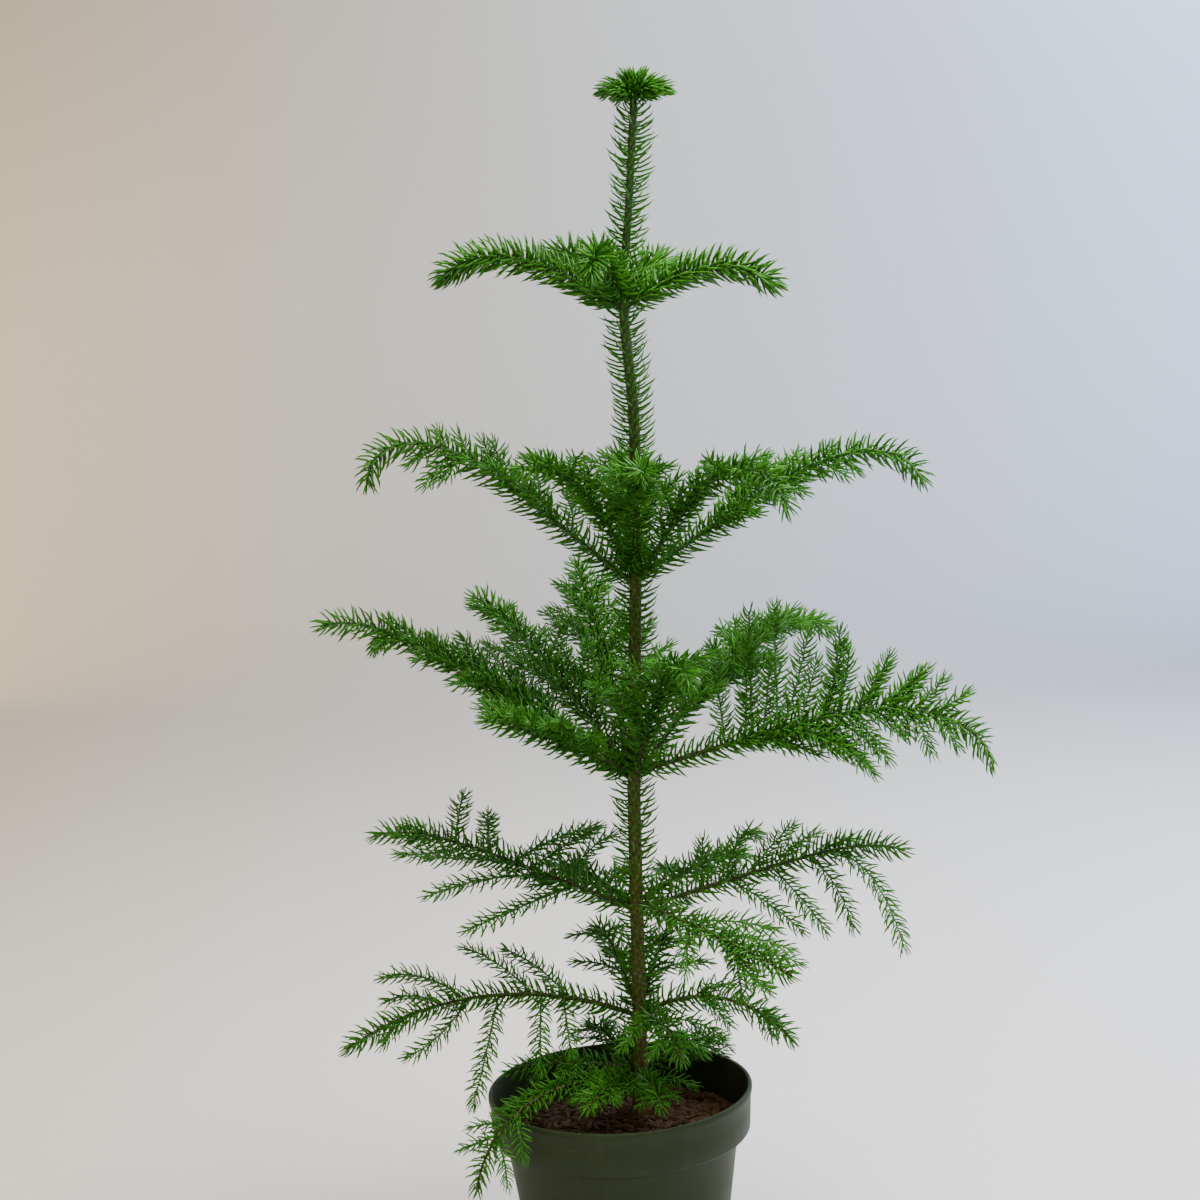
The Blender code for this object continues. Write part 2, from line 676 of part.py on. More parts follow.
def build_pot(parts, cutters, finish):
    collar_low = POT_HEIGHT - COLLAR_HEIGHT
    lip_low = POT_HEIGHT - LIP_HEIGHT
    outside = [
        (RIM_RADIUS - RIM_ROUND[0], POT_HEIGHT),
        (RIM_RADIUS, POT_HEIGHT - RIM_ROUND[1]),
        (RIM_RADIUS, lip_low),
        (RIM_RADIUS - LIP_PROUD, lip_low - LIP_STEP),
        (RIM_RADIUS - COLLAR_TAPER, collar_low + COLLAR_CHAMFER),
        (wall_radius(collar_low), collar_low),
        (wall_radius(FOOT_RISE), FOOT_RISE),
        (wall_radius(0) - FOOT_ROUND, 0.0),
        (0.0, 0.0),
    ]
    profile = outside + [(0.0, POT_WALL)] + pot_inside() + outside[:1]
    pot = as_mesh(turned("pot", profile, POT_STEPS, parts, finish), parts)
    weld(pot.data)
    holes = bpy.data.collections.new("drain_holes")
    cutters.children.link(holes)
    for number in range(DRAIN_HOLES):
        angle = 2 * math.pi * number / DRAIN_HOLES
        place = (DRAIN_CIRCLE * math.cos(angle), DRAIN_CIRCLE * math.sin(angle))
        name = f"drain_hole_{number + 1}"
        cylinder(name, DRAIN_RADIUS, -POT_WALL, 2 * POT_WALL, place, DRAIN_SIDES, holes)
    combine(pot, "DIFFERENCE", holes)
    bpy.data.collections.remove(holes)
    shade_round(pot.data, 30)
    return pot


def soil_top(x, y):
    """Height of the soil: level, a little lumpy, and heaped to a flat at the trunk's foot."""
    foot = TRUNK_KNOTS[0]
    off = math.hypot(x - foot[1], y - foot[2])
    heap = 1 - min(max((off - SOIL_FLAT) / (SOIL_HEAP_REACH - SOIL_FLAT), 0.0), 1.0)
    lump = noise.noise(Vector((x, y, 0)) * SOIL_LUMP_SCALE) * SOIL_LUMP * (1 - heap)
    level = POT_HEIGHT - SOIL_BELOW_RIM
    return level + (foot[0] - GAP - level) * heap * heap * (3 - 2 * heap) + lump


def build_soil(parts, finish):
    """Fills the pot, a gap inside the flats of its wall."""
    level = POT_HEIGHT - SOIL_BELOW_RIM
    flats = math.cos(math.pi / POT_STEPS)
    wall = [(radius * flats - GAP, height) for radius, height in pot_inside()]
    reach = wall[3][0]
    rings = [SOIL_FLAT]
    rings += [SOIL_FLAT + (reach - SOIL_FLAT) * k / SOIL_RINGS for k in range(1, SOIL_RINGS + 1)]
    profile = [(0.0, level)] + [(radius, level) for radius in rings]
    profile += list(reversed(wall[1:4])) + [(wall[0][0], wall[0][1] + GAP), (0.0, POT_WALL + GAP)]
    soil = as_mesh(turned("soil", profile, SOIL_STEPS, parts, finish), parts)
    weld(soil.data)
    foot = Vector((TRUNK_KNOTS[0][1], TRUNK_KNOTS[0][2], 0))
    for vertex in soil.data.vertices:
        if vertex.co.z < level - SAME:
            continue
        radius = math.hypot(vertex.co.x, vertex.co.y)
        vertex.co += foot * (1 - radius / reach)
        if radius < reach - SAME:
            vertex.co.z = soil_top(vertex.co.x, vertex.co.y)
    shade_round(soil.data, 50)
    return soil


def trunk_tube(name, extra, collection, finish=None):
    """The trunk from its flat foot to its tip, stouter all round by an extra radius."""
    knots = [knot[0] for knot in TRUNK_KNOTS]
    heights = [knots[-1]] + [knot[0] for knot in TRUNK_TAPER[1:3]]
    for low, high in zip(knots, knots[1:]):
        heights += [low + (high - low) * i / TRUNK_STEPS for i in range(TRUNK_STEPS)]
    heights.sort()
    points = [trunk_point(height) for height in heights]
    points[0].xy = TRUNK_KNOTS[0][1:]
    radii = [trunk_radius(height) + extra for height in heights]
    made = tube(name, points, radii, TRUNK_FLATS, collection, finish, upright=True)
    weld(made.data)
    return made


def trunk_needles():
    """(root, tip) of each spike needle of the scatter up the trunk, between the tiers."""
    rng = random.Random(7)
    top = TRUNK_KNOTS[-1][0]
    height, turn = TRUNK_NEEDLES_FROM, 0.0
    while height < top - TRUNK_NEEDLE_STEPS[1]:
        share = (height - TRUNK_NEEDLES_FROM) / (top - TRUNK_NEEDLES_FROM)
        height += TRUNK_NEEDLE_STEPS[0] + (TRUNK_NEEDLE_STEPS[1] - TRUNK_NEEDLE_STEPS[0]) * share
        turn += GOLDEN
        way = heading(turn, math.radians(rng.uniform(*TRUNK_NEEDLE_LEANS)))
        length = TRUNK_NEEDLE * rng.uniform(*TRUNK_NEEDLE_SIZES)
        root = trunk_point(height) + way * (trunk_radius(height) / 2)
        if all(abs(height - tier.height) > TIER_ROOM for tier in TIERS):
            yield root, root + way * length


def build_trunk(parts, cutters, solids, finish):
    """The whole trunk, with its needles fused on where they are clear of the other solids."""
    trunk = trunk_tube("trunk", 0.0, parts, finish)
    work = bmesh.new()
    for root, tip in trunk_needles():
        way = tip - root
        edge = root + way.orthogonal().normalized() * TRUNK_NEEDLE_RADIUS
        samples = [root.lerp(tip, share) for share in (0.4, 0.7, 1.0)]
        if any(solid.meets([root, edge, tip], [(0, 1, 2)], samples, CLEAR) for solid in solids):
            continue
        place = way.to_track_quat("Z", "Y").to_matrix().to_4x4()
        place.translation = root.lerp(tip, 0.5)
        bmesh.ops.create_cone(
            work, cap_ends=True, segments=3, radius1=TRUNK_NEEDLE_RADIUS, radius2=0.0,
            depth=way.length, matrix=place,
        )
    mesh = bpy.data.meshes.new("trunk_needles")
    bmesh.ops.remove_doubles(work, verts=work.verts, dist=MERGE)
    work.to_mesh(mesh)
    work.free()
    combine(trunk, "UNION", link("trunk_needles", mesh, cutters))
    shade_round(trunk.data, 60)
    return trunk


def build_boughs(parts, cutters, solids, bark):
    """The bare inner part of each limb, cut to the trunk's side."""
    for tier in TIERS:
        for number, limb, line, _, _ in limbs_of(tier):
            if not has_bough(tier, limb):
                continue
            points = stretch_of(line, 0.0, tier.bare, BOUGH_PITCH)
            last = len(points) - 1
            fall = BOUGH_RADIUS - BOUGH_TIP_RADIUS
            radii = [BOUGH_RADIUS - fall * i / last for i in range(last + 1)]
            name = f"{tier.name}_bough_{number}"
            bough = tube(name, points, radii, BOUGH_SIDES, parts, bark)
            weld(bough.data)
            gap = GAP / math.cos(math.pi / TRUNK_FLATS)
            combine(bough, "DIFFERENCE", hidden(trunk_tube("trunk_space", gap, cutters)))
            keep_body(bough.data)
            shade_round(bough.data, 70)
            solids.append(Solid(bough))


def keep_body(mesh):
    """Keep only the largest of the bodies that a cut has left."""
    work = bmesh.new()
    work.from_mesh(mesh)
    left = set(work.verts)
    bodies = []
    while left:
        body, edge = [], [left.pop()]
        while edge:
            vertex = edge.pop()
            body.append(vertex)
            near = {e.other_vert(vertex) for e in vertex.link_edges} & left
            left -= near
            edge += near
        bodies.append(body)
    bodies.sort(key=len)
    for body in bodies[:-1]:
        bmesh.ops.delete(work, geom=body, context="VERTS")
    work.to_mesh(mesh)
    work.free()


def trunk_side(line, rise):
    """Share of a limb's axis where a stem's flat end is just clear of the trunk's side."""
    lean = STEM_RADIUS * math.sin(math.radians(rise))
    for step in range(SIDE_STEPS):
        place = point_at(line, step / SIDE_STEPS)
        out = (place - trunk_point(place.z)).length
        if out > trunk_radius(place.z) + GAP + lean:
            return step / SIDE_STEPS
    raise RuntimeError("a limb never leaves the trunk")


def tier_masses():
    """A mass for each limb, from its bough's tip, or from the trunk where it has no bough."""
    for tier in TIERS:
        for number, limb, line, twigs, rng in limbs_of(tier):
            name = f"{tier.name}_foliage_{number}"
            if has_bough(tier, limb):
                start = tier.bare + GAP / length_of(line)
                yield Mass(name, f"{tier.name}_bough_{number}", line, start, 0.0, twigs, rng)
            else:
                start = trunk_side(line, limb.rise)
                yield Mass(name, "trunk", line, start, BARE_FOOT, twigs, rng)


def crown_tuft():
    """A short stem on the trunk's tip with a star of sprays round it."""
    top = TRUNK_KNOTS[-1][0]
    foot = trunk_point(top) + Vector((0, 0, GAP))
    along = (trunk_point(top) - trunk_point(top - TUFT_HEIGHT)).normalized()
    line = [foot + along * TUFT_HEIGHT * i / TWIG_STEPS for i in range(TWIG_STEPS + 1)]
    rng = random.Random(3)
    sprays = []
    for number in range(TUFT_SPRAYS):
        azimuth = 2 * math.pi * (number + rng.uniform(-0.2, 0.2)) / TUFT_SPRAYS
        axis = [point_at(line, rng.uniform(0.4, 0.7))]
        for i in range(TWIG_STEPS):
            pitch = math.radians(TUFT_RISE + (TUFT_DROOP - TUFT_RISE) * i / TWIG_STEPS)
            axis.append(axis[-1] + heading(azimuth, pitch) * TUFT_REACH / TWIG_STEPS)
        sprays.append(axis)
    return Mass("crown_tuft", "trunk", line, 0.0, 0.0, sprays, rng)


def stems_of(masses):
    return [solid for mass in masses for solid in mass.solids]


def build_foliage(parts, cutters, solids, finish):
    """All the bare stems first, so that no needle takes a neighbour's place, then the needles."""
    masses = [*tier_masses(), crown_tuft()]
    for mass in masses:
        mass.raise_stem(solids + stems_of(masses), parts, finish)
    for mass in masses:
        others = stems_of(each for each in masses if each is not mass)
        mass.raise_twigs(solids + others, cutters, finish)
    for number, mass in enumerate(masses):
        done = mass.dress(solids + stems_of(masses[number:]))
        solids.append(done)


def main():
    for each in list(bpy.data.objects):
        bpy.data.objects.remove(each)
    scene = bpy.context.scene.collection
    parts = bpy.data.collections.new("potted_norfolk_island_pine")
    cutters = bpy.data.collections.new("cutters")
    scene.children.link(parts)
    scene.children.link(cutters)
    plastic = material("pot_plastic", (0.085, 0.115, 0.065), 0.45)
    earth = material("soil", (0.045, 0.026, 0.015), 0.95)
    bark = material("bark", (0.10, 0.09, 0.035), 0.8)
    needles = material("needles", (0.045, 0.17, 0.018), 0.55)

    solids = [Solid(build_pot(parts, cutters, plastic)), Solid(build_soil(parts, earth))]
    build_boughs(parts, cutters, solids, bark)
    solids.append(Solid(build_trunk(parts, cutters, solids, bark)))
    build_foliage(parts, cutters, solids, needles)


if __name__ == "__main__":
    main()
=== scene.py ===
"""Looks of a young Norfolk Island pine in a nursery pot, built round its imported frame.

Metres, +Z up. The origin is the centre of the pot's flat underside, and -Y is the plant's front.
Limbs, twigs and needles grow by the same rule as the frame's own foliage, carried on to finer ones.
The script adds the whole plant on its stage. It is laid out as an add-on, whose panel in the 3D
view's sidebar lists each piece and each setting.
"""

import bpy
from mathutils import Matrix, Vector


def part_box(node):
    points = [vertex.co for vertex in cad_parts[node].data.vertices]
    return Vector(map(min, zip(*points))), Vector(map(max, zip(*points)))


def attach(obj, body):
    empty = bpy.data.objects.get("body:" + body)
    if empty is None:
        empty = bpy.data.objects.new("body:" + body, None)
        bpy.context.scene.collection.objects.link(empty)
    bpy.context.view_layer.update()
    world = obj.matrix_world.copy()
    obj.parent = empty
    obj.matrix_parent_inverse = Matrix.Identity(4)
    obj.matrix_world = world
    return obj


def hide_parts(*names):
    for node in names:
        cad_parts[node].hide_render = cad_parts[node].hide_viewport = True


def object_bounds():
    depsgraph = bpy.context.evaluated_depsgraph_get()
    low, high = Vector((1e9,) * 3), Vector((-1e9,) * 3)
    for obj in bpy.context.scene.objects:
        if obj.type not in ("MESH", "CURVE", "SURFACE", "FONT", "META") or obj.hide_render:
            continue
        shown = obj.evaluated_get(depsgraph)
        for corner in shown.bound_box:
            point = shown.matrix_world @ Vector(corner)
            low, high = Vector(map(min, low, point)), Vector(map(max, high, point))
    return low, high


bl_info = {
    "name": "Potted Norfolk Island Pine",
    "version": (1, 0, 0),
    "blender": (4, 5, 0),
    "location": "3D View > Sidebar > Pine",
    "description": "Adds a young Norfolk Island pine in a nursery pot, piece by piece",
    "category": "Add Mesh",
}

import math
import random
from collections import namedtuple

import bmesh
import bpy
import numpy as np
from mathutils import Matrix, Vector, kdtree, noise

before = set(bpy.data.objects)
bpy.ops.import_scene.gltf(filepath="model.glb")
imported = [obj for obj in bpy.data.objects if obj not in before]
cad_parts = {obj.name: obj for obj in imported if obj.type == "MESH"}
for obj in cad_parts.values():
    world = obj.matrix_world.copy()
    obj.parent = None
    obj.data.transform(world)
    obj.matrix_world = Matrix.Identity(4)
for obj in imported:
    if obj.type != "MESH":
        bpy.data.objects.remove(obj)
CAD_BOX = [list(corner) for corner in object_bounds()]

# Pot: its overall size is the frame's, and the rest of its turned profile is set here.
POT_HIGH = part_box("pot")[1]
RIM_RADIUS = POT_HIGH.x
POT_HEIGHT = POT_HIGH.z
COLLAR_HEIGHT = 0.031
COLLAR_STEP = 0.0078
COLLAR_TAPER = 0.0022
COLLAR_CHAMFER = 0.0035
WALL_FOOT_RADIUS = 0.056
FOOT_ROUND = 0.0018
LIP_HEIGHT = 0.0035
LIP_PROUD = 0.0009
POT_WALL = 0.0018
COLLAR_LOW = POT_HEIGHT - COLLAR_HEIGHT
LIP_LOW = POT_HEIGHT - LIP_HEIGHT
COLLAR_RADIUS = RIM_RADIUS - COLLAR_TAPER
POT_SIDES = 144
DRAIN_HOLES = 6
DRAIN_RADIUS = 0.0055
DRAIN_REACH = 0.040  # from the pot's axis to a hole's

# Soil: the level that it fills the pot to, and the heap round the trunk.
SOIL_LEVEL = POT_HEIGHT - 0.0265
SOIL_FLAT = 0.011
SOIL_HEAP_REACH = 0.055
SOIL_LUMP = 0.0025
SOIL_LUMP_SCALE = 55.0
SOIL_ROOM = 0.0004  # between the soil and the pot's wall
SOIL_RINGS, SOIL_SIDES = 64, 150
SOIL_EDGE = 0.004  # where the roughness fades out at the wall

# Loose crumbs: share of them all, greatest size, how long for its width, how patchy its colour.
Crumb = namedtuple("Crumb", "name share size long contrast")
CRUMBS = (
    Crumb("peat", 0.42, 0.0022, 1.5, 0.5),
    Crumb("bark", 0.51, 0.0026, 3.4, 0.55),
    Crumb("pale", 0.07, 0.0016, 2.2, 0.4),
)
CRUMB_LEAST = 0.0006
CRUMB_THINS = (0.35, 0.8)
CRUMB_TILT = 0.45
CRUMB_FINE = 0.0021  # size from which a crumb has the finer shapes
CRUMB_SHAPES = 3  # of each fineness
CRUMB_CLEAR = 0.0062  # from the trunk's axis

# Trunk: (height, x, y) that it passes through, and (height, radius) of its taper.
TRUNK_KNOTS = (
    (0.124, 0.0124, 0.010),
    (0.190, 0.0146, 0.009),
    (0.340, 0.0186, 0.010),
    (0.460, 0.0256, 0.012),
    (0.560, 0.0296, 0.012),
    (0.629, 0.0268, 0.010),
    (0.690, 0.0330, 0.009),
    (0.748, 0.0388, 0.010),
)
TRUNK_TAPER = (
    (0.124, 0.0072),
    (0.132, 0.0052),
    (0.160, 0.0045),
    (0.340, 0.0040),
    (0.480, 0.0036),
    (0.629, 0.0030),
    (0.660, 0.0024),
    (0.748, 0.0023),
)
TRUNK_FOOT, TRUNK_TOP = TRUNK_KNOTS[0][0], TRUNK_KNOTS[-1][0]
LIMB_RADIUS = 0.0017
LIMB_TIP_RADIUS = 0.0007
LIMB_STAGGER = 0.0024
LIMB_STEPS = 60
TRUNK_STEPS = 400
GOLDEN = math.radians(137.5)

# A limb leaves the trunk at an azimuth (0 is +X, 90 is the back) and a rise, and its pitch
# falls to the droop at its tip. Its length is along the limb, and angles are in degrees. bend
# sets how late it arches over. It has its own side twigs, or else its tier's pairs.
Limb = namedtuple("Limb", "azimuth length rise droop bend twigs", defaults=((),))
# A side twig leaves the limb at a share of it, on its right (side 1) or left (-1) as it grows
# out, at an angle to it and with a rise, then turns down by its sag.
Twig = namedtuple("Twig", "at side length angle rise sag")
# Pairs stand between the first and last share of the limb. The longest are nearest the trunk.
Twigs = namedtuple("Twigs", "pairs longest angle rise sag first last")
TWIG_STEPS = 10
TWIG_SWING = 6.0  # degrees, either way, from the pairs' own angle
TWIG_SIZES = (0.82, 1.12)
TWIG_RISES = (-0.12, 0.22)  # more or less than the pairs' own rise
TWIG_SHIFT = 0.02  # share of the limb that a twig stands before or after its place
PAIR_SHIFT = 0.012  # and that the two sides of a pair stand apart
TWIG_FULL = 0.42  # share of the limb where twigs start to be shorter than the longest
TWIG_NONE = 1.08  # and where their length would come to nothing
# A tier is a ring of limbs, and its twigs are the pairs of those limbs that have none of their own.
Tier = namedtuple("Tier", "name height twigs limbs")
TWIG_RADIUS = 0.00075
TWIG_TIP_RADIUS = 0.00045

TIERS = (
    Tier("tier_1", 0.146, Twigs(2, 0.030, 50, 0.10, 0.8, 0.45, 0.85), (
        Limb(-140, 0.156, 18, -80, 2.0, (
            Twig(0.46, 1, 0.034, 50, 0.10, 0.80),
            Twig(0.50, -1, 0.034, 50, 0.05, 0.80),
            Twig(0.70, 1, 0.026, 52, 0.30, 0.36),
            Twig(0.76, 1, 0.032, 60, -0.14, 0.03),
            Twig(0.67, -1, 0.030, 69, 0.22, 3.47),
            Twig(0.79, -1, 0.032, 78, 0.49, 4.64),
        )),
    )),
    Tier("tier_2", 0.150, Twigs(2, 0.034, 50, 0.12, 0.7, 0.42, 0.72), (
        Limb(-113, 0.088, 14, -14, 2.5),
        Limb(38, 0.072, 12, -26, 2.5),
        Limb(118, 0.074, 24, -20, 2.5),
        Limb(-170, 0.086, 13, -15, 2.5),
        Limb(-82, 0.080, 13, -16, 2.5),
    )),
    Tier("tier_3", 0.189, Twigs(2, 0.042, 52, 0.12, 0.75, 0.36, 0.72), (
        Limb(183, 0.192, 25, -33, 1.1, (
            Twig(0.24, 1, 0.064, 48, 0.60, 0.62),
            Twig(0.36, 1, 0.058, 36, 0.84, 0.66),
            Twig(0.58, 1, 0.065, 29, 0.88, 1.05),
            Twig(0.66, 1, 0.045, 33, 0.62, 0.95),
            Twig(0.26, -1, 0.040, 95, -0.80, 0.40),
            Twig(0.33, -1, 0.051, 82, -0.57, 1.35),
            Twig(0.47, -1, 0.075, 68, -1.20, -0.23),
            Twig(0.57, -1, 0.058, 37, -0.99, -0.80),
            Twig(0.76, -1, 0.030, 42, 0.10, 0.70),
        )),
        Limb(-72, 0.078, 5, -50, 3.0),
        Limb(-6, 0.108, 35, -57, 1.0),
        Limb(68, 0.070, 36, 15, 3.0),
        Limb(112, 0.085, 47, -24, 3.0),
    )),
    Tier("tier_4", 0.258, Twigs(2, 0.046, 50, 0.12, 0.65, 0.36, 0.76), (
        Limb(177, 0.172, 24, -16, 6.0, (
            Twig(0.27, 1, 0.054, 130, 1.29, 0.92),
            Twig(0.41, 1, 0.068, 130, 0.52, 0.17),
            Twig(0.48, 1, 0.085, 130, 0.48, 0.34),
            Twig(0.70, 1, 0.038, 99, 1.67, 0.86),
            Twig(0.24, -1, 0.089, 41, -0.36, 0.09),
            Twig(0.32, -1, 0.089, 29, -0.05, 0.51),
            Twig(0.65, -1, 0.050, 33, -0.38, -0.29),
            Twig(0.80, 1, 0.026, 42, 0.25, 0.60),
        )),
        Limb(-56, 0.153, -2, -8, 1.5, (
            Twig(0.36, 1, 0.050, 40, 0.10, 0.80),
            Twig(0.59, 1, 0.069, 15, -0.34, -0.40),
            Twig(0.64, 1, 0.038, 27, -0.27, 1.09),
            Twig(0.34, -1, 0.056, 50, 0.20, 0.50),
            Twig(0.52, -1, 0.048, 46, 0.15, 0.55),
            Twig(0.72, -1, 0.034, 45, 0.10, 0.50),
        )),
        Limb(-3, 0.172, 16, -22, 6.0, (
            Twig(0.25, -1, 0.039, 88, 0.38, -0.76),
            Twig(0.34, -1, 0.066, 63, 2.57, 2.40),
            Twig(0.52, -1, 0.050, 50, 0.40, 0.60),
            Twig(0.70, -1, 0.034, 45, 0.25, 0.60),
            Twig(0.35, 1, 0.060, 33, -0.49, 0.39),
            Twig(0.51, 1, 0.055, 41, -0.76, 0.37),
            Twig(0.65, 1, 0.056, 46, -0.40, 1.41),
            Twig(0.73, 1, 0.086, 47, 0.12, 2.07),
        )),
        Limb(50, 0.115, 10, -12, 2.0),
        Limb(120, 0.105, 12, -12, 2.0),
    )),
    Tier("tier_5", 0.340, Twigs(3, 0.058, 50, 0.34, 0.45, 0.30, 0.80), (
        Limb(176, 0.220, 36, -14, 6.0, (
            Twig(0.25, 1, 0.051, 38, 0.68, 0.46),
            Twig(0.35, 1, 0.056, 40, 0.61, 0.19),
            Twig(0.43, 1, 0.053, 36, 0.85, 0.69),
            Twig(0.58, 1, 0.034, 40, 0.55, 0.60),
            Twig(0.30, -1, 0.055, 45, 0.30, 0.50),
            Twig(0.44, -1, 0.045, 45, 0.25, 0.60),
            Twig(0.60, -1, 0.034, 45, 0.20, 0.60),
            Twig(0.77, -1, 0.022, 47, 0.00, 1.11),
        )),
        Limb(-140, 0.125, 28, 10, 6.0),
        Limb(131, 0.183, 43, 15, 2.3),
        Limb(100, 0.205, 36, 25, 2.0),
        Limb(46, 0.220, 36, -30, 2.5),
        Limb(-8, 0.239, 16, -77, 4.5, (
            Twig(0.25, -1, 0.067, 104, 1.32, -0.39),
            Twig(0.32, -1, 0.081, 92, 1.34, -0.80),
            Twig(0.39, -1, 0.083, 93, 0.99, -0.80),
            Twig(0.52, -1, 0.057, 71, 1.01, -0.80),
            Twig(0.61, -1, 0.042, 52, 1.03, 0.04),
            Twig(0.67, -1, 0.038, 45, 0.47, -0.18),
            Twig(0.36, 1, 0.081, 28, 0.06, 1.01),
            Twig(0.57, 1, 0.045, 46, -0.34, 0.73),
            Twig(0.71, 1, 0.037, 48, -0.02, 1.52),
        )),
        Limb(-70, 0.140, 54, -65, 5.3),
    )),
    Tier("tier_6", 0.461, Twigs(2, 0.048, 50, 0.40, 0.45, 0.34, 0.64), (
        Limb(181, 0.205, 42, -99, 5.5, (
            Twig(0.24, 1, 0.044, 95, 0.89, -0.80),
            Twig(0.34, 1, 0.037, 64, 0.85, -0.76),
            Twig(0.48, 1, 0.033, 56, 0.98, 0.06),
            Twig(0.30, -1, 0.046, 50, 0.60, 0.50),
            Twig(0.46, -1, 0.036, 50, 0.45, 0.50),
            Twig(0.68, -1, 0.033, 49, -1.07, -0.25),
        )),
        Limb(-135, 0.130, 60, -15, 2.5),
        Limb(92, 0.150, 38, -5, 3.0),
        Limb(1, 0.203, 31, -75, 5.3, (
            Twig(0.28, 1, 0.046, 50, 0.25, 0.60),
            Twig(0.34, -1, 0.046, 50, 0.60, 0.30),
            Twig(0.50, -1, 0.036, 50, 0.45, 0.30),
            Twig(0.47, 1, 0.036, 50, 0.10, 0.70),
            Twig(0.64, 1, 0.026, 48, -0.10, 0.80),
        )),
        Limb(-46, 0.164, 50, -74, 3.2),
        Limb(-86, 0.120, 60, -10, 2.5),
    )),
    Tier("tier_7", 0.629, Twigs(0, 0.0, 45, 0.1, 0.3, 0.4, 0.8), (
        Limb(180, 0.119, 34, -43, 2.5),
        Limb(-104, 0.092, 32, -70, 4.0),
        Limb(3, 0.100, 33, -44, 1.8),
        Limb(62, 0.080, 36, -50, 2.0),
        Limb(128, 0.080, 40, -14, 2.7),
    )),
)

# Crown tuft: an upright stem, a star of sprays, and short upright sprays (buds) between them.
TUFT_HEIGHT = 0.010
TUFT_SPRAYS = 6
TUFT_REACH = 0.018
TUFT_RISE = 24
TUFT_DROOP = -24
TUFT_BUDS = 5
TUFT_BUD_REACH = 0.007
TUFT_BUD_RISE = 52
TUFT_STEM_RADII = (0.0016, 0.0009)
TUFT_SPRAY_RADII = (0.0011, 0.0006)
TUFT_BUD_RADII = (0.0010, 0.0006)
CROWN_PROUD = 0.0065  # how far the crown's softest needles stand above the frame's

# Finer twigs, each like the frame's own twig nearest to it on its side: how far apart they stand
# in each tier, from which share of the limb to which, and how much they differ from that twig.
FINE_PITCHES = (0.020, 0.010, 0.030, 0.024, 0.0056, 0.0090)
FINE_FIRST, FINE_LAST = 0.22, 0.80
FINE_ROOM = 0.55  # of the pitch, left clear of the frame's own
FINE_SIZES = (0.60, 1.05)
FINE_SAGS = (0.4, 1.6)
FINE_ANGLES = (0.62, 1.0)
FINE_FADE = 0.42  # share of the limb, on from a frame's twig, where those like it come to nothing
FINE_LEAST = 0.3  # and how small a share of its length is left out

# Needles, by the kind of stem: length, spacing along the stem, how flat the two rows lie, the
# angle to the stem, the spread of that angle, and how upright the upper ones stand.
Habit = namedtuple("Habit", "length spacing comb lean swing lift")
LEADER_HABIT = Habit(0.0150, 0.00058, 0.0, 88, 3.0, 0)
LIMB_HABIT = Habit(0.0140, 0.00062, 0.12, 80, 5.0, 8)
TWIG_HABIT = Habit(0.0114, 0.00076, 0.36, 74, 5.0, 6)
YOUNG_HABIT = Habit(0.0155, 0.00040, 0.08, 77, 4.5, 10)
TUFT_HABIT = Habit(0.0142, 0.00030, 0.0, 68, 8.0, 0)
LEADER_NEEDLE, LIMB_NEEDLE = 0.098, 0.122  # greatest width, as a share of its length
NEEDLE_WIDTHS = (0.80, 1.0, 0.84)  # at its root and two stations on, then a point
NEEDLE_STATIONS = (0.0, 0.30, 0.72, 1.0)
NEEDLE_BENDS = (30, 44, 58)
NEEDLE_CLEAR = 0.0004  # least room between a needle and the pot or the soil
TWIG_CLEAR = 0.001  # and between a twig and them
TRUNK_BEND = 1.2  # how much more the trunk's needles curve
TRUNK_BARE = 0.160  # height under which the trunk has none
BASE_REACH = 0.0008  # how far the raised base of a needle spreads on the bark

# How long each tier's needles are, as a share of the habit's, and how young they are, from the
# lowest tier to the crown tuft. The tiers under LOWER_TIERS have the duller shades.
TIER_SIZES = (0.80, 0.78, 0.90, 0.93, 0.97, 1.0, 1.0)
TIER_YOUTH = (0.1, 0.1, 0.4, 0.6, 0.8, 0.9, 1.25, 1.5)
LOWER_TIERS = 4
GREEN_LIMBS = 0.370  # height from which limbs have the green skin
DRY_SHARE = 0.0025

# Stage: a round room, and soft square lights, whose watts are among the settings.
ROOM_REACH, ROOM_HEIGHT, ROOM_CURVE = 3.4, 3.2, 0.9
ROOM_STEPS = 8
Light = namedtuple("Light", "name side colour place")
LIGHTS = (
    Light("key", 1.1, (1.0, 0.98, 0.94), (0.55, -0.25, 1.95)),
    Light("fill", 1.4, (1.0, 0.97, 0.90), (-1.1, -1.5, 0.9)),
    Light("back", 0.9, (0.95, 0.98, 1.0), (1.1, 1.0, 1.2)),
    Light("wall_warm", 0.9, (1.0, 0.80, 0.52), (-1.5, 2.2, 0.5)),
    Light("wall_cool", 1.1, (0.72, 0.86, 1.0), (1.7, 2.2, 1.7)),
)
PLANT_MIDDLE = Vector((0.02, 0, 0.42))
SENSOR = 36.0
FRAME_SIZE = 1200
RIM_PIXEL = (620, 1086)  # where the frame has the centre of the pot's rim


def linear(code):
    """Scene-linear colour of a #rrggbb code."""
    values = [int(code[i:i + 2], 16) / 255 for i in (1, 3, 5)]
    return tuple(v / 12.92 if v <= 0.04045 else ((v + 0.055) / 1.055) ** 2.4 for v in values)


def measure(name, description, default, unit="LENGTH"):
    """A number to set, in metres unless another unit is given."""
    return bpy.props.FloatProperty(name=name, description=description, default=default, unit=unit)


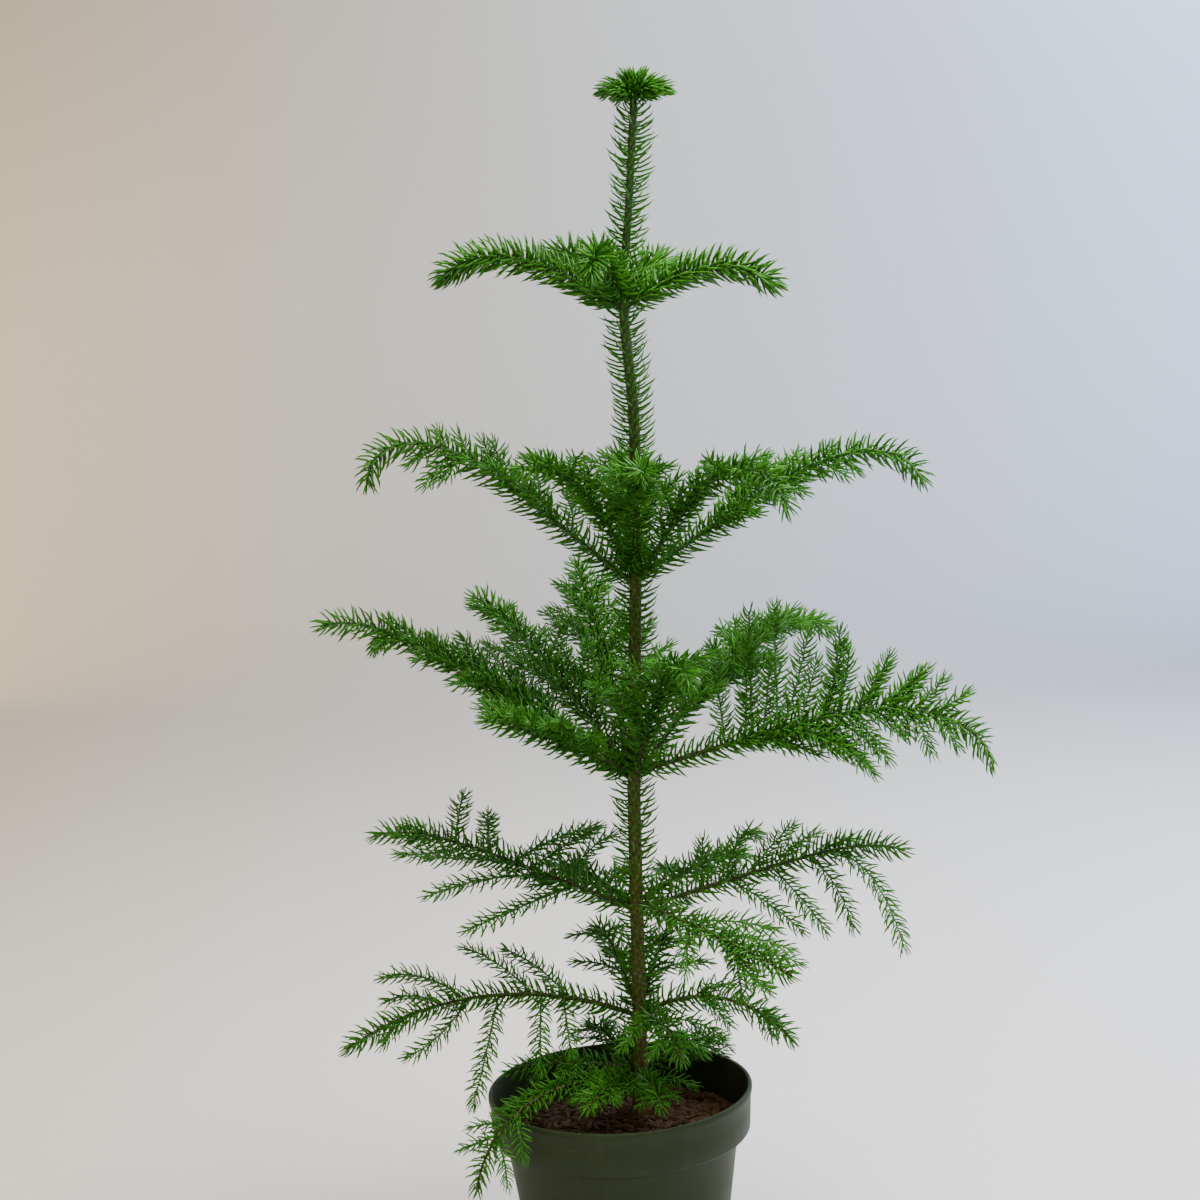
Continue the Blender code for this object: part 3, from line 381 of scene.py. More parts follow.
def tint(name, description, code):
    """A colour to set, given as #rrggbb."""
    return bpy.props.FloatVectorProperty(
        name=name, description=description, default=linear(code), subtype="COLOR", size=3,
        min=0.0, max=1.0,
    )


class PotSettings(bpy.types.PropertyGroup):
    wall: measure("Wall", "Thickness of the moulded wall", POT_WALL)
    plastic: tint("Plastic", "Grey-green of the moulded pot", "#242e15")
    dust: tint("Dust", "Pale scuffs and dried water marks", "#4a5339")


class SoilSettings(bpy.types.PropertyGroup):
    peat: tint("Peat", "Dark moist peat", "#4a3012")
    bark: tint("Bark chips", "Brown composted bark", "#9c7232")
    pale: tint("Pale bits", "Perlite and straw", "#dcc48c")
    crumbs: bpy.props.IntProperty(
        name="Crumbs", description="How many loose crumbs lie on the soil", default=2600, min=0
    )


class BarkSettings(bpy.types.PropertyGroup):
    relief: measure("Relief", "Height of the bark's ridges", 0.00022)
    foot: tint("Foot", "Brown bark at the trunk's foot", "#54401f")
    middle: tint("Middle", "Olive bark between the tiers", "#3d4411")
    leader: tint("Leader", "Green skin of the leader", "#173f07")
    base: tint("Needle base", "Pale raised base that each needle stands on", "#64851c")
    old_limb: tint("Old limb", "Bark of the lower limbs", "#3c4414")
    green_limb: tint("Green limb", "Skin of the upper limbs", "#2c5a10")
    twig: tint("Twig", "Skin of the side twigs", "#2f6a10")


class FoliageSettings(bpy.types.PropertyGroup):
    size: measure("Needle size", "Length of all the needles, against the usual", 1.0, "NONE")
    deep: tint("Deep", "Oldest needles, nearest the trunk", "#306c07")
    middle: tint("Middle", "Grown needles", "#52a20c")
    fresh: tint("Fresh", "Needles of the last flush", "#76cf12")
    tip: tint("Tip", "Soft needles round a growing tip", "#a2e42c")
    shade: tint("Shade", "Grown needles of the lower tiers", "#458a13")
    shade_tip: tint("Shade tip", "Young needles of the lower tiers", "#7cc63a")
    dry: tint("Dry", "The odd browned needle", "#7a5a2a")


class StageSettings(bpy.types.PropertyGroup):
    lens: measure("Lens", "Focal length in mm", 75.0, "CAMERA")
    pitch: measure("Pitch", "How far the camera looks down", math.radians(9.1), "ROTATION")
    roll: measure("Roll", "How far the camera leans over", math.radians(3.0), "ROTATION")
    distance: measure("Distance", "From the camera to the pot's rim, along its view", 1.5625)
    warm: tint("Warm", "Floor and wall on the left", "#d4c29e")
    cool: tint("Cool", "Floor and wall on the right", "#d3dcec")
    key: measure("Key light", "Big soft light overhead, to the right", 84.0, "POWER")
    fill: measure("Fill light", "Weak light in front to the left", 10.0, "POWER")
    back: measure("Back light", "Cool light behind to the right", 24.0, "POWER")
    wall_warm: measure("Warm wall light", "Light on the wall to the left", 9.0, "POWER")
    wall_cool: measure("Cool wall light", "Light on the wall to the right", 66.0, "POWER")
    sky: measure("Room light", "Strength of the even light all round", 0.38, "NONE")


SETTINGS = {
    "pine_pot": PotSettings,
    "pine_soil": SoilSettings,
    "pine_bark": BarkSettings,
    "pine_foliage": FoliageSettings,
    "pine_stage": StageSettings,
}


# Shaders ---------------------------------------------------------------------------------------

class Wire:
    """A value's socket, for shader maths in plain expressions."""

    def __init__(self, nodes, socket):
        self.nodes = nodes
        self.socket = socket

    def __add__(self, other):
        return self.nodes.maths("ADD", self, other)

    def __sub__(self, other):
        return self.nodes.maths("SUBTRACT", self, other)

    def __mul__(self, other):
        return self.nodes.maths("MULTIPLY", self, other)

    def __radd__(self, other):
        return self.nodes.maths("ADD", other, self)

    def __rsub__(self, other):
        return self.nodes.maths("SUBTRACT", other, self)

    def __rmul__(self, other):
        return self.nodes.maths("MULTIPLY", other, self)

    def clamped(self):
        return self.nodes.maths("ADD", self, 0.0, use_clamp=True)


class Finish:
    """A material in the making: a Principled shader, and the nodes that feed it."""

    def __init__(self, name, roughness=0.5, specular=0.5):
        self.material = bpy.data.materials.new(name)
        self.material.use_nodes = True
        self.tree = self.material.node_tree
        self.shader = self.tree.nodes["Principled BSDF"]
        self.shader.inputs["Roughness"].default_value = roughness
        self.shader.inputs["Specular IOR Level"].default_value = specular
        self.places = self.node("ShaderNodeTexCoord", {}, {}, "Object")

    def node(self, kind, settings, values, output=0):
        """Adds a node, sets it, and joins or sets its inputs. Returns the output asked for."""
        made = self.tree.nodes.new(kind)
        for name, value in settings.items():
            setattr(made, name, value)
        for name, value in values.items():
            if isinstance(value, Wire):
                self.tree.links.new(value.socket, made.inputs[name])
            else:
                made.inputs[name].default_value = value
        return Wire(self, made.outputs[output])

    def maths(self, operation, first, second, use_clamp=False):
        settings = {"operation": operation, "use_clamp": use_clamp}
        return self.node("ShaderNodeMath", settings, {0: first, 1: second})

    def stretched(self, scale):
        """Object coordinates, scaled by a vector."""
        return self.node("ShaderNodeMapping", {}, {"Vector": self.places, "Scale": scale})

    def noise(self, scale, detail=3.0, rough=0.5, places=None):
        return self.node(
            "ShaderNodeTexNoise", {},
            {"Vector": places or self.places, "Scale": scale, "Detail": detail, "Roughness": rough},
            "Fac",
        )

    def height(self):
        """The Z of a point on the piece."""
        return self.node("ShaderNodeSeparateXYZ", {}, {"Vector": self.places}, "Z")

    def between(self, value, low, high):
        """0 at low and under, 1 at high and over."""
        return self.node(
            "ShaderNodeMapRange", {"clamp": True},
            {"Value": value, "From Min": low, "From Max": high, "To Min": 0.0, "To Max": 1.0},
        )

    def mix(self, share, first, second):
        """One colour over another. A colour is a tuple or a Wire."""
        made = self.tree.nodes.new("ShaderNodeMix")
        made.data_type = "RGBA"
        for index, value in ((0, share), (6, first), (7, second)):
            if isinstance(value, Wire):
                self.tree.links.new(value.socket, made.inputs[index])
            elif index == 0:
                made.inputs[index].default_value = value
            else:
                made.inputs[index].default_value = (*value, 1.0)
        return Wire(self, made.outputs[2])

    def feed(self, name, wire):
        self.tree.links.new(wire.socket, self.shader.inputs[name])

    def bump(self, wire, strength, distance):
        values = {"Height": wire, "Strength": strength, "Distance": distance}
        self.feed("Normal", self.node("ShaderNodeBump", {}, values, "Normal"))


def times(share, colour):
    """A colour made darker, or lighter where the share is over 1."""
    return tuple(min(1.0, share * value) for value in colour)


def plastic_finish(settings):
    """Moulded plastic: faintly mottled, scuffed in thin streaks, dusty towards its foot, and with
    painted shadow in a thin dark band under the collar.
    """
    made = Finish("pot_plastic", roughness=0.52, specular=0.15)
    mottle = made.noise(28.0, 4.0, 0.6)
    streaks = made.noise(90.0, 2.0, 0.5, made.stretched((1.0, 1.0, 0.06)))
    scuffs = made.noise(260.0, 3.0, 0.7, made.stretched((0.12, 0.12, 1.0)))
    worn = made.between(scuffs, 0.60, 0.78) * made.between(mottle, 0.42, 0.66)
    low = 1.0 - made.between(made.height(), 0.004, 0.030)
    dusty = (worn * 0.5 + low * mottle * 0.5 + made.between(streaks, 0.56, 0.8) * 0.16).clamped()
    deep = times(0.78, settings.plastic)
    body = made.mix(made.between(mottle, 0.3, 0.7), deep, settings.plastic)
    dusted = made.mix(dusty, body, settings.dust)
    # Painted shadow: a thin, nearly black band just under the collar's step, where the collar
    # shades the body below it.
    above = made.between(made.height(), COLLAR_LOW - 0.0010, COLLAR_LOW - 0.0001)
    below = 1.0 - made.between(made.height(), COLLAR_LOW + 0.0006, COLLAR_LOW + 0.0022)
    painted_collar_shadow = above * below
    made.feed("Base Color", made.mix(painted_collar_shadow * 0.85, dusted, (0.004, 0.005, 0.002)))
    made.feed("Roughness", (0.46 + mottle * 0.14 + dusty * 0.3).clamped())
    made.bump(mottle * 0.4 + made.noise(700.0, 2.0) * 0.3, 0.25, 0.0004)
    return made.material


def soil_finish(settings):
    """Moist peat and bark: dark, with brown fibres, and painted shade that darkens its hollows."""
    made = Finish("soil_earth", roughness=0.9, specular=0.25)
    clumps = made.noise(140.0, 5.0, 0.62)
    grains = made.noise(620.0, 4.0, 0.7)
    brown = (made.between(clumps, 0.42, 0.66) * made.between(grains, 0.35, 0.7)).clamped()
    # Painted shade: the peat is darkened where the clumps are low, which are the hollows of the
    # bump.
    painted_hollow_shade = times(0.45, settings.peat)
    base = made.mix(made.between(clumps, 0.3, 0.55), painted_hollow_shade, settings.peat)
    made.feed("Base Color", made.mix(brown, base, settings.bark))
    made.feed("Roughness", (0.72 + grains * 0.28).clamped())
    made.bump(clumps + grains * 0.5, 0.9, 0.0012)
    return made.material


def crumb_finish(name, colour, contrast):
    """One kind of crumb: its own colour, weathered in patches."""
    made = Finish(name, roughness=0.85, specular=0.3)
    patches = made.noise(420.0, 4.0, 0.65)
    dark = times(1 - contrast, colour)
    made.feed("Base Color", made.mix(made.between(patches, 0.35, 0.65), dark, colour))
    made.bump(made.noise(1500.0, 3.0), 0.6, 0.0003)
    return made.material


BASE_MARK = "needle_base"  # the trunk's own attribute: 1 at the root of a needle


def trunk_finish(settings):
    """Olive-brown bark at the foot that turns to the leader's green skin, flecked all the way."""
    made = Finish("trunk_bark", roughness=0.72, specular=0.35)
    height = made.height()
    flecks = made.noise(900.0, 3.0, 0.7, made.stretched((1.0, 1.0, 0.35)))
    patches = made.noise(130.0, 3.0, 0.6, made.stretched((1.0, 1.0, 0.3)))
    ripened = made.between(height + patches * 0.05, 0.15, 0.30)
    green = made.between(height + patches * 0.06, 0.47, 0.66)
    bark = made.mix(ripened, settings.foot, settings.middle)
    skin = made.mix(green, bark, settings.leader)
    cracked = made.between(flecks, 0.52, 0.68) * (1.0 - green * 0.5)
    body = made.mix(cracked * 0.8, skin, times(0.38, settings.foot))
    base = made.node("ShaderNodeAttribute", {"attribute_name": BASE_MARK}, {}, "Fac")
    pale = (base * made.between(patches, 0.2, 0.6)).clamped()
    made.feed("Base Color", made.mix(pale * 0.65, body, settings.base))
    made.feed("Roughness", (0.82 - green * 0.3).clamped())
    made.bump(flecks + patches * 0.4, 0.5, 0.0003)
    return made.material


def stem_finish(name, colour, rough):
    """Skin of limbs and twigs of one age."""
    made = Finish(name, roughness=rough, specular=0.35)
    flecks = made.noise(800.0, 3.0, 0.6)
    dark = times(0.62, colour)
    made.feed("Base Color", made.mix(made.between(flecks, 0.35, 0.65), dark, colour))
    made.bump(flecks, 0.3, 0.0002)
    return made.material


def needle_finish(name, colour):
    """Waxy skin of needles of one age, a little lighter and darker from place to place."""
    made = Finish(name, roughness=0.48, specular=0.2)
    drift = made.noise(75.0, 3.0, 0.6)
    shades = times(0.74, colour), times(1.18, colour)
    made.feed("Base Color", made.mix(made.between(drift, 0.3, 0.7), *shades))
    made.feed("Roughness", (0.44 + drift * 0.16).clamped())
    return made.material


NEEDLE_SHADES = ("deep", "middle", "fresh", "tip", "shade", "shade_tip", "dry")
DEEP, MIDDLE, FRESH, TIP, SHADE, SHADE_TIP, DRY = range(len(NEEDLE_SHADES))


def needle_finishes(settings):
    """One finish for each needle shade, made once and shared by all the pieces."""
    made = []
    for shade in NEEDLE_SHADES:
        name = f"needle_{shade}"
        found = bpy.data.materials.get(name)
        made.append(found or needle_finish(name, getattr(settings, shade)))
    return made


# Making pieces ---------------------------------------------------------------------------------

def deselect():
    """Object mode with nothing selected, which is how every piece starts."""
    if bpy.context.mode != "OBJECT":
        bpy.ops.object.mode_set(mode="OBJECT")
    bpy.ops.object.select_all(action="DESELECT")


def named(name):
    """The object in hand, given its piece's name, with its place in its mesh."""
    made = bpy.context.object
    made.name = made.data.name = name
    bpy.ops.object.transform_apply(location=True, rotation=True, scale=True)
    return made


def finished(piece, materials, nodes):
    """Gives a piece its materials and its body, and hides the frame's nodes that it stands for."""
    piece.data.materials.clear()
    for material in materials:
        piece.data.materials.append(material)
    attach(piece, "root")
    if nodes:
        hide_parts(*nodes)
    return piece


def nodes_like(start):
    """The frame's nodes whose names start this way."""
    return sorted(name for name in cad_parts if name.startswith(start))


def lathe(name, stations, sides):
    """Closed turned body: a disc at the first (radius, height), drawn on through the others."""
    deselect()
    radius, height = stations[0]
    bpy.ops.mesh.primitive_circle_add(
        vertices=sides, radius=radius, fill_type="NGON", location=(0, 0, height),
        enter_editmode=True,
    )
    for next_radius, next_height in stations[1:]:
        rise = (0, 0, next_height - height)
        bpy.ops.mesh.extrude_region_move(TRANSFORM_OT_translate={"value": rise})
        share = next_radius / radius
        bpy.ops.transform.resize(value=(share, share, 1), center_override=(0, 0, next_height))
        radius, height = next_radius, next_height
    bpy.ops.mesh.select_all(action="SELECT")
    bpy.ops.mesh.normals_make_consistent(inside=False)
    bpy.ops.object.mode_set(mode="OBJECT")
    return named(name)


def apply(piece, kind, **settings):
    """Adds a modifier with these settings and applies it."""
    modifier = piece.modifiers.new(kind.title(), kind)
    for name, value in settings.items():
        setattr(modifier, name, value)
    deselect()
    bpy.context.view_layer.objects.active = piece
    piece.select_set(True)
    bpy.ops.object.modifier_apply(modifier=modifier.name)


def tubes(name, stems, sides_level, upright=False):
    """One mesh of tapering tubes, one for each (points, radii), with welded caps."""
    curve = bpy.data.curves.new(name, "CURVE")
    curve.dimensions = "3D"
    curve.twist_mode = "MINIMUM" if upright else "Z_UP"
    curve.bevel_depth = 1.0
    curve.bevel_resolution = sides_level
    curve.use_fill_caps = True
    for points, radii in stems:
        spline = curve.splines.new("POLY")
        spline.points.add(len(points) - 1)
        spline.points.foreach_set("co", np.c_[points, np.ones(len(points))].ravel())
        spline.points.foreach_set("radius", radii)
    made = bpy.data.objects.new(name, curve)
    bpy.context.collection.objects.link(made)
    deselect()
    made.select_set(True)
    bpy.context.view_layer.objects.active = made
    bpy.ops.object.convert(target="MESH")
    bpy.ops.object.mode_set(mode="EDIT")
    bpy.ops.mesh.select_all(action="SELECT")
    bpy.ops.mesh.remove_doubles(threshold=0.000002)
    bpy.ops.mesh.normals_make_consistent(inside=False)
    bpy.ops.object.mode_set(mode="OBJECT")
    return named(name)


def arrays_of(made):
    """(points, triangles) of a small modelled shape, which is then removed."""
    mesh = made.data
    mesh.calc_loop_triangles()
    points = np.array([vertex.co for vertex in mesh.vertices])
    faces = np.array([face.vertices for face in mesh.loop_triangles])
    bpy.data.objects.remove(made)
    return points, faces


def stamped(name, shapes, kinds, origins, axes, shades):
    """One mesh of many copies of a few small shapes, each with its place, axes and shade."""
    points, faces, paints, done = [], [], [], 0
    for kind, (shape, triangles) in enumerate(shapes):
        chosen = kinds == kind
        copies = int(chosen.sum())
        placed = np.einsum("nij,mj->nmi", axes[chosen], shape) + origins[chosen][:, None]
        starts = done + np.arange(copies) * len(shape)
        points.append(placed.reshape(-1, 3))
        faces.append((triangles[None] + starts[:, None, None]).reshape(-1, 3))
        paints.append(np.repeat(shades[chosen], len(triangles)))
        done += copies * len(shape)
    points, faces, paints = (np.concatenate(each) for each in (points, faces, paints))
    mesh = bpy.data.meshes.new(name)
    mesh.vertices.add(len(points))
    mesh.vertices.foreach_set("co", points.astype(np.float32).ravel())
    mesh.loops.add(3 * len(faces))
    mesh.loops.foreach_set("vertex_index", faces.astype(np.int32).ravel())
    mesh.polygons.add(len(faces))
    mesh.polygons.foreach_set("loop_start", np.arange(len(faces), dtype=np.int32) * 3)
    mesh.polygons.foreach_set("material_index", paints.astype(np.int32))
    mesh.update(calc_edges=True)
    mesh.shade_smooth()
    made = bpy.data.objects.new(name, mesh)
    bpy.context.collection.objects.link(made)
    return made


# The growing rule ------------------------------------------------------------------------------

def between(knots, height):
    """Row of knots read at a height, smooth through every knot."""
    last = len(knots) - 1
    k = 0
    while k < last - 1 and height > knots[k + 1][0]:
        k += 1
    low, high = knots[k], knots[k + 1]
    before, after = knots[max(k - 1, 0)], knots[min(k + 2, last)]
    span = high[0] - low[0]
    t = min(max((height - low[0]) / span, 0.0), 1.0)
    values = []
    for column in range(1, len(low)):
        leave = (high[column] - before[column]) / (high[0] - before[0]) * span
        arrive = (after[column] - low[column]) / (after[0] - low[0]) * span
        values.append(
            (2 * t**3 - 3 * t**2 + 1) * low[column]
            + (t**3 - 2 * t**2 + t) * leave
            + (3 * t**2 - 2 * t**3) * high[column]
            + (t**3 - t**2) * arrive
        )
    return values


def trunk_point(height):
    x, y = between(TRUNK_KNOTS, height)
    return Vector((x, y, height))


def trunk_radius(height):
    return between(TRUNK_TAPER, height)[0]


def heading(azimuth, pitch):
    return Vector((
        math.cos(pitch) * math.cos(azimuth),
        math.cos(pitch) * math.sin(azimuth),
        math.sin(pitch),
    ))


def limb_line(start, limb):
    """Evenly spaced points of a limb's axis."""
    points = [start.copy()]
    for i in range(LIMB_STEPS):
        t = (i + 0.5) / LIMB_STEPS
        pitch = math.radians(limb.rise + (limb.droop - limb.rise) * t**limb.bend)
        step = heading(math.radians(limb.azimuth), pitch) * (limb.length / LIMB_STEPS)
        points.append(points[-1] + step)
    return points


def point_at(line, t):
    place = min(max(t, 0.0), 1.0) * (len(line) - 1)
    i = min(int(place), len(line) - 2)
    return line[i].lerp(line[i + 1], place - i)


def tangent_at(line, t):
    step = 1.0 / (len(line) - 1)
    return (point_at(line, t + step) - point_at(line, t - step)).normalized()


def twig_line(line, twig):
    """Axis of a side twig: out to one side of the limb and forward, then sagging."""
    along = tangent_at(line, twig.at)
    upward = Vector((0, 0, 1))
    sideways = along.cross(upward).normalized() * twig.side
    angle = math.radians(twig.angle)
    direction = along * math.cos(angle) + sideways * math.sin(angle) + upward * twig.rise
    points = [point_at(line, twig.at)]
    for step in range(TWIG_STEPS):
        direction = (direction.normalized() - upward * (twig.sag / TWIG_STEPS)).normalized()
        points.append(points[-1] + direction * (twig.length / TWIG_STEPS))
    return points


def pairs_of(rule, rng):
    """The side twigs that a limb has in the frame by its tier's rule."""
    for pair in range(rule.pairs):
        share = pair / max(rule.pairs - 1, 1)
        middle = rule.first + (rule.last - rule.first) * share
        for side in (-1, 1):
            at = middle + rng.uniform(-TWIG_SHIFT, TWIG_SHIFT) + PAIR_SHIFT * side
            full = rule.longest * min(1.0, (TWIG_NONE - at) / (TWIG_NONE - TWIG_FULL))
            length = full * rng.uniform(*TWIG_SIZES)
            angle = rule.angle + rng.uniform(-TWIG_SWING, TWIG_SWING)
            yield Twig(at, side, length, angle, rule.rise + rng.uniform(*TWIG_RISES), rule.sag)


def fine_twigs(limb, pitch, taken, rng):
    """The finer twigs, which take turns from side to side where the frame's own leave room."""
    count = int((FINE_LAST - FINE_FIRST) * limb.length / pitch)
    for number in range(count):
        at = FINE_FIRST + (FINE_LAST - FINE_FIRST) * (number + rng.uniform(0.3, 0.7)) / count
        beside = [twig for twig in taken if twig.side == (-1) ** number]
        near = min(beside, key=lambda twig: abs(twig.at - at))
        size = rng.uniform(*FINE_SIZES) * (1.0 - max(0.0, at - near.at) / FINE_FADE)
        angle = near.angle * rng.uniform(*FINE_ANGLES)
        rise, sag = near.rise + rng.uniform(*TWIG_RISES), near.sag * rng.uniform(*FINE_SAGS)
        if abs(at - near.at) * limb.length > FINE_ROOM * pitch and size > FINE_LEAST:
            yield Twig(at, near.side, near.length * size, angle, rise, sag)


class Stem:
    """A stem's axis, smoothed, with its taper and the directions across it.

    order is 0 for the trunk and the tuft's upright stem, 1 for a limb and 2 for a twig.
    """

    def __init__(self, points, root_radius, tip_radius, order, pitch=0.0012):
        rough = np.array([tuple(point) for point in points])
        steps = np.linalg.norm(np.diff(rough, axis=0), axis=1)
        marks = np.concatenate(([0.0], np.cumsum(steps)))
        self.length = marks[-1]
        count = max(6, int(self.length / pitch))
        self.marks = np.linspace(0.0, self.length, count + 1)
        raw = np.stack([np.interp(self.marks, marks, rough[:, axis]) for axis in range(3)], axis=1)
        soft = raw.copy()
        for _ in range(6):
            soft[1:-1] = (soft[:-2] + 2 * soft[1:-1] + soft[2:]) / 4
        self.points = soft
        self.tangents = np.gradient(soft, axis=0)
        self.tangents /= np.linalg.norm(self.tangents, axis=1, keepdims=True)
        self.sides = self.carried_sides()
        self.ups = np.cross(self.sides, self.tangents)
        self.radii = root_radius + (tip_radius - root_radius) * self.marks / self.length
        self.order = order

    def carried_sides(self):
        """Level directions across the stem, carried along it without a twist."""
        side = np.cross(self.tangents[0], (0.0, 0.0, 1.0))
        if np.linalg.norm(side) < 0.1:
            side = np.array((1.0, 0.0, 0.0))
        sides = []
        for tangent in self.tangents:
            side = side - tangent * side.dot(tangent)
            side = side / np.linalg.norm(side)
            sides.append(side)
        return np.array(sides)

    def read(self, values, at):
        """Rows of the stem's points or directions, read at distances along it."""
        return np.stack([np.interp(at, self.marks, values[:, axis]) for axis in range(3)], axis=1)


def limb_stems(tier):
    """A tier's limbs, each as its own stem and then its twigs' stems."""
    number_of_tier = TIERS.index(tier)
    for number, limb in enumerate(tier.limbs, 1):
        rng = random.Random(1000 * tier.height + number)
        step = LIMB_STAGGER * (-1) ** number
        line = limb_line(trunk_point(tier.height + step), limb)
        yield Stem(line, LIMB_RADIUS, LIMB_TIP_RADIUS, 1)
        twigs = list(limb.twigs or pairs_of(tier.twigs, rng))
        if twigs:
            finer = random.Random(77 * number_of_tier + number)
            twigs += fine_twigs(limb, FINE_PITCHES[number_of_tier], tuple(twigs), finer)
        for twig in twigs:
            yield Stem(twig_line(line, twig), TWIG_RADIUS, TWIG_TIP_RADIUS, 2)


def tuft_stems():
    """The crown tuft: a short upright stem on the trunk's tip, and a star of sprays round it."""
    foot = trunk_point(TRUNK_TOP)
    along = (foot - trunk_point(TRUNK_TOP - TUFT_HEIGHT)).normalized()
    line = [foot + along * TUFT_HEIGHT * i / TWIG_STEPS for i in range(TWIG_STEPS + 1)]
    yield Stem(line, *TUFT_STEM_RADII, 0)
    rng = random.Random(3)
    for number in range(TUFT_SPRAYS):
        azimuth = 2 * math.pi * (number + rng.uniform(-0.2, 0.2)) / TUFT_SPRAYS
        axis = [point_at(line, rng.uniform(0.4, 0.7))]
        for i in range(TWIG_STEPS):
            pitch = math.radians(TUFT_RISE + (TUFT_DROOP - TUFT_RISE) * i / TWIG_STEPS)
            axis.append(axis[-1] + heading(azimuth, pitch) * TUFT_REACH / TWIG_STEPS)
        yield Stem(axis, *TUFT_SPRAY_RADII, 2)
    for number in range(TUFT_BUDS):
        azimuth = 2 * math.pi * (number + rng.uniform(0.3, 0.7)) / TUFT_BUDS
        axis = [point_at(line, 0.8)]
        for i in range(TWIG_STEPS):
            step = heading(azimuth, math.radians(TUFT_BUD_RISE)) * TUFT_BUD_REACH / TWIG_STEPS
            axis.append(axis[-1] + step)
        yield Stem(axis, *TUFT_BUD_RADII, 2)


def trunk_stem():
    rise = TRUNK_TOP - TRUNK_FOOT
    heights = [TRUNK_FOOT + rise * i / TRUNK_STEPS for i in range(TRUNK_STEPS + 1)]
    radii = trunk_radius(TRUNK_FOOT), trunk_radius(TRUNK_TOP)
    stem = Stem([trunk_point(height) for height in heights], *radii, 0, pitch=0.0008)
    stem.radii = np.array([trunk_radius(height) for height in stem.points[:, 2]])
    return stem


# Where the pot and the soil are ----------------------------------------------------------------

def wall_radius(height):
    """Outside of the pot's tapering body, below its collar."""
    top = COLLAR_RADIUS - COLLAR_STEP
    return WALL_FOOT_RADIUS + (top - WALL_FOOT_RADIUS) * height / COLLAR_LOW


def inside_radius(heights):
    """Inside of the pot's wall, from its floor to its lip."""
    stations = (0.0, COLLAR_LOW, COLLAR_LOW + COLLAR_CHAMFER, POT_HEIGHT)
    outside = (WALL_FOOT_RADIUS, wall_radius(COLLAR_LOW), COLLAR_RADIUS, RIM_RADIUS - LIP_PROUD)
    return np.interp(heights, stations, [radius - POT_WALL for radius in outside])


def soil_top(x, y):
    """Height of the soil: level, a little lumpy, and heaped to a flat at the trunk's foot."""
    foot = TRUNK_KNOTS[0]
    off = math.hypot(x - foot[1], y - foot[2])
    heap = 1 - min(max((off - SOIL_FLAT) / (SOIL_HEAP_REACH - SOIL_FLAT), 0.0), 1.0)
    lump = noise.noise(Vector((x, y, 0)) * SOIL_LUMP_SCALE) * SOIL_LUMP * (1 - heap)
    return SOIL_LEVEL + (foot[0] - SOIL_LEVEL) * heap * heap * (3 - 2 * heap) + lump


def clear_of_pot(points, room):
    """True for each point that is neither in the pot's wall nor under the soil."""
    across = np.hypot(points[:, 0], points[:, 1])
    low = points[:, 2] < POT_HEIGHT + room
    inner = inside_radius(points[:, 2])
    outer = np.where(points[:, 2] > COLLAR_LOW, RIM_RADIUS, wall_radius(points[:, 2]))
    in_wall = low & (across > inner - room) & (across < outer + room)
    near_soil = (across <= inner) & (points[:, 2] < SOIL_LEVEL + 0.012)
    buried = np.zeros(len(points), bool)
    for index in np.nonzero(near_soil)[0]:
        buried[index] = points[index, 2] < soil_top(points[index, 0], points[index, 1]) + room
    return ~(in_wall | buried)


def clears_pot(stem):
    """Whether all of a stem stays out of the pot's wall and the soil."""
    return clear_of_pot(stem.points, TWIG_CLEAR).all()


# Needles ---------------------------------------------------------------------------------------

def model_needle(width, bend):
    """A three-sided needle of unit length along +Z, curved over towards +X."""
    deselect()
    bpy.ops.mesh.primitive_circle_add(
        vertices=3, radius=width * NEEDLE_WIDTHS[0] / 2, fill_type="NGON", enter_editmode=True
    )
    for index in range(1, len(NEEDLE_STATIONS)):
        rise = NEEDLE_STATIONS[index] - NEEDLE_STATIONS[index - 1]
        bpy.ops.mesh.extrude_region_move(TRANSFORM_OT_translate={"value": (0, 0, rise)})
        if index < len(NEEDLE_WIDTHS):
            share = NEEDLE_WIDTHS[index] / NEEDLE_WIDTHS[index - 1]
            centre = (0, 0, NEEDLE_STATIONS[index])
            bpy.ops.transform.resize(value=(share, share, 1), center_override=centre)
    bpy.ops.mesh.merge(type="CENTER")
    bpy.ops.mesh.select_all(action="SELECT")
    bpy.ops.mesh.normals_make_consistent(inside=False)
    bpy.ops.object.mode_set(mode="OBJECT")
    needle = named("needle")
    apply(needle, "SIMPLE_DEFORM", deform_method="BEND", deform_axis="Y", angle=math.radians(bend))
    return arrays_of(needle)


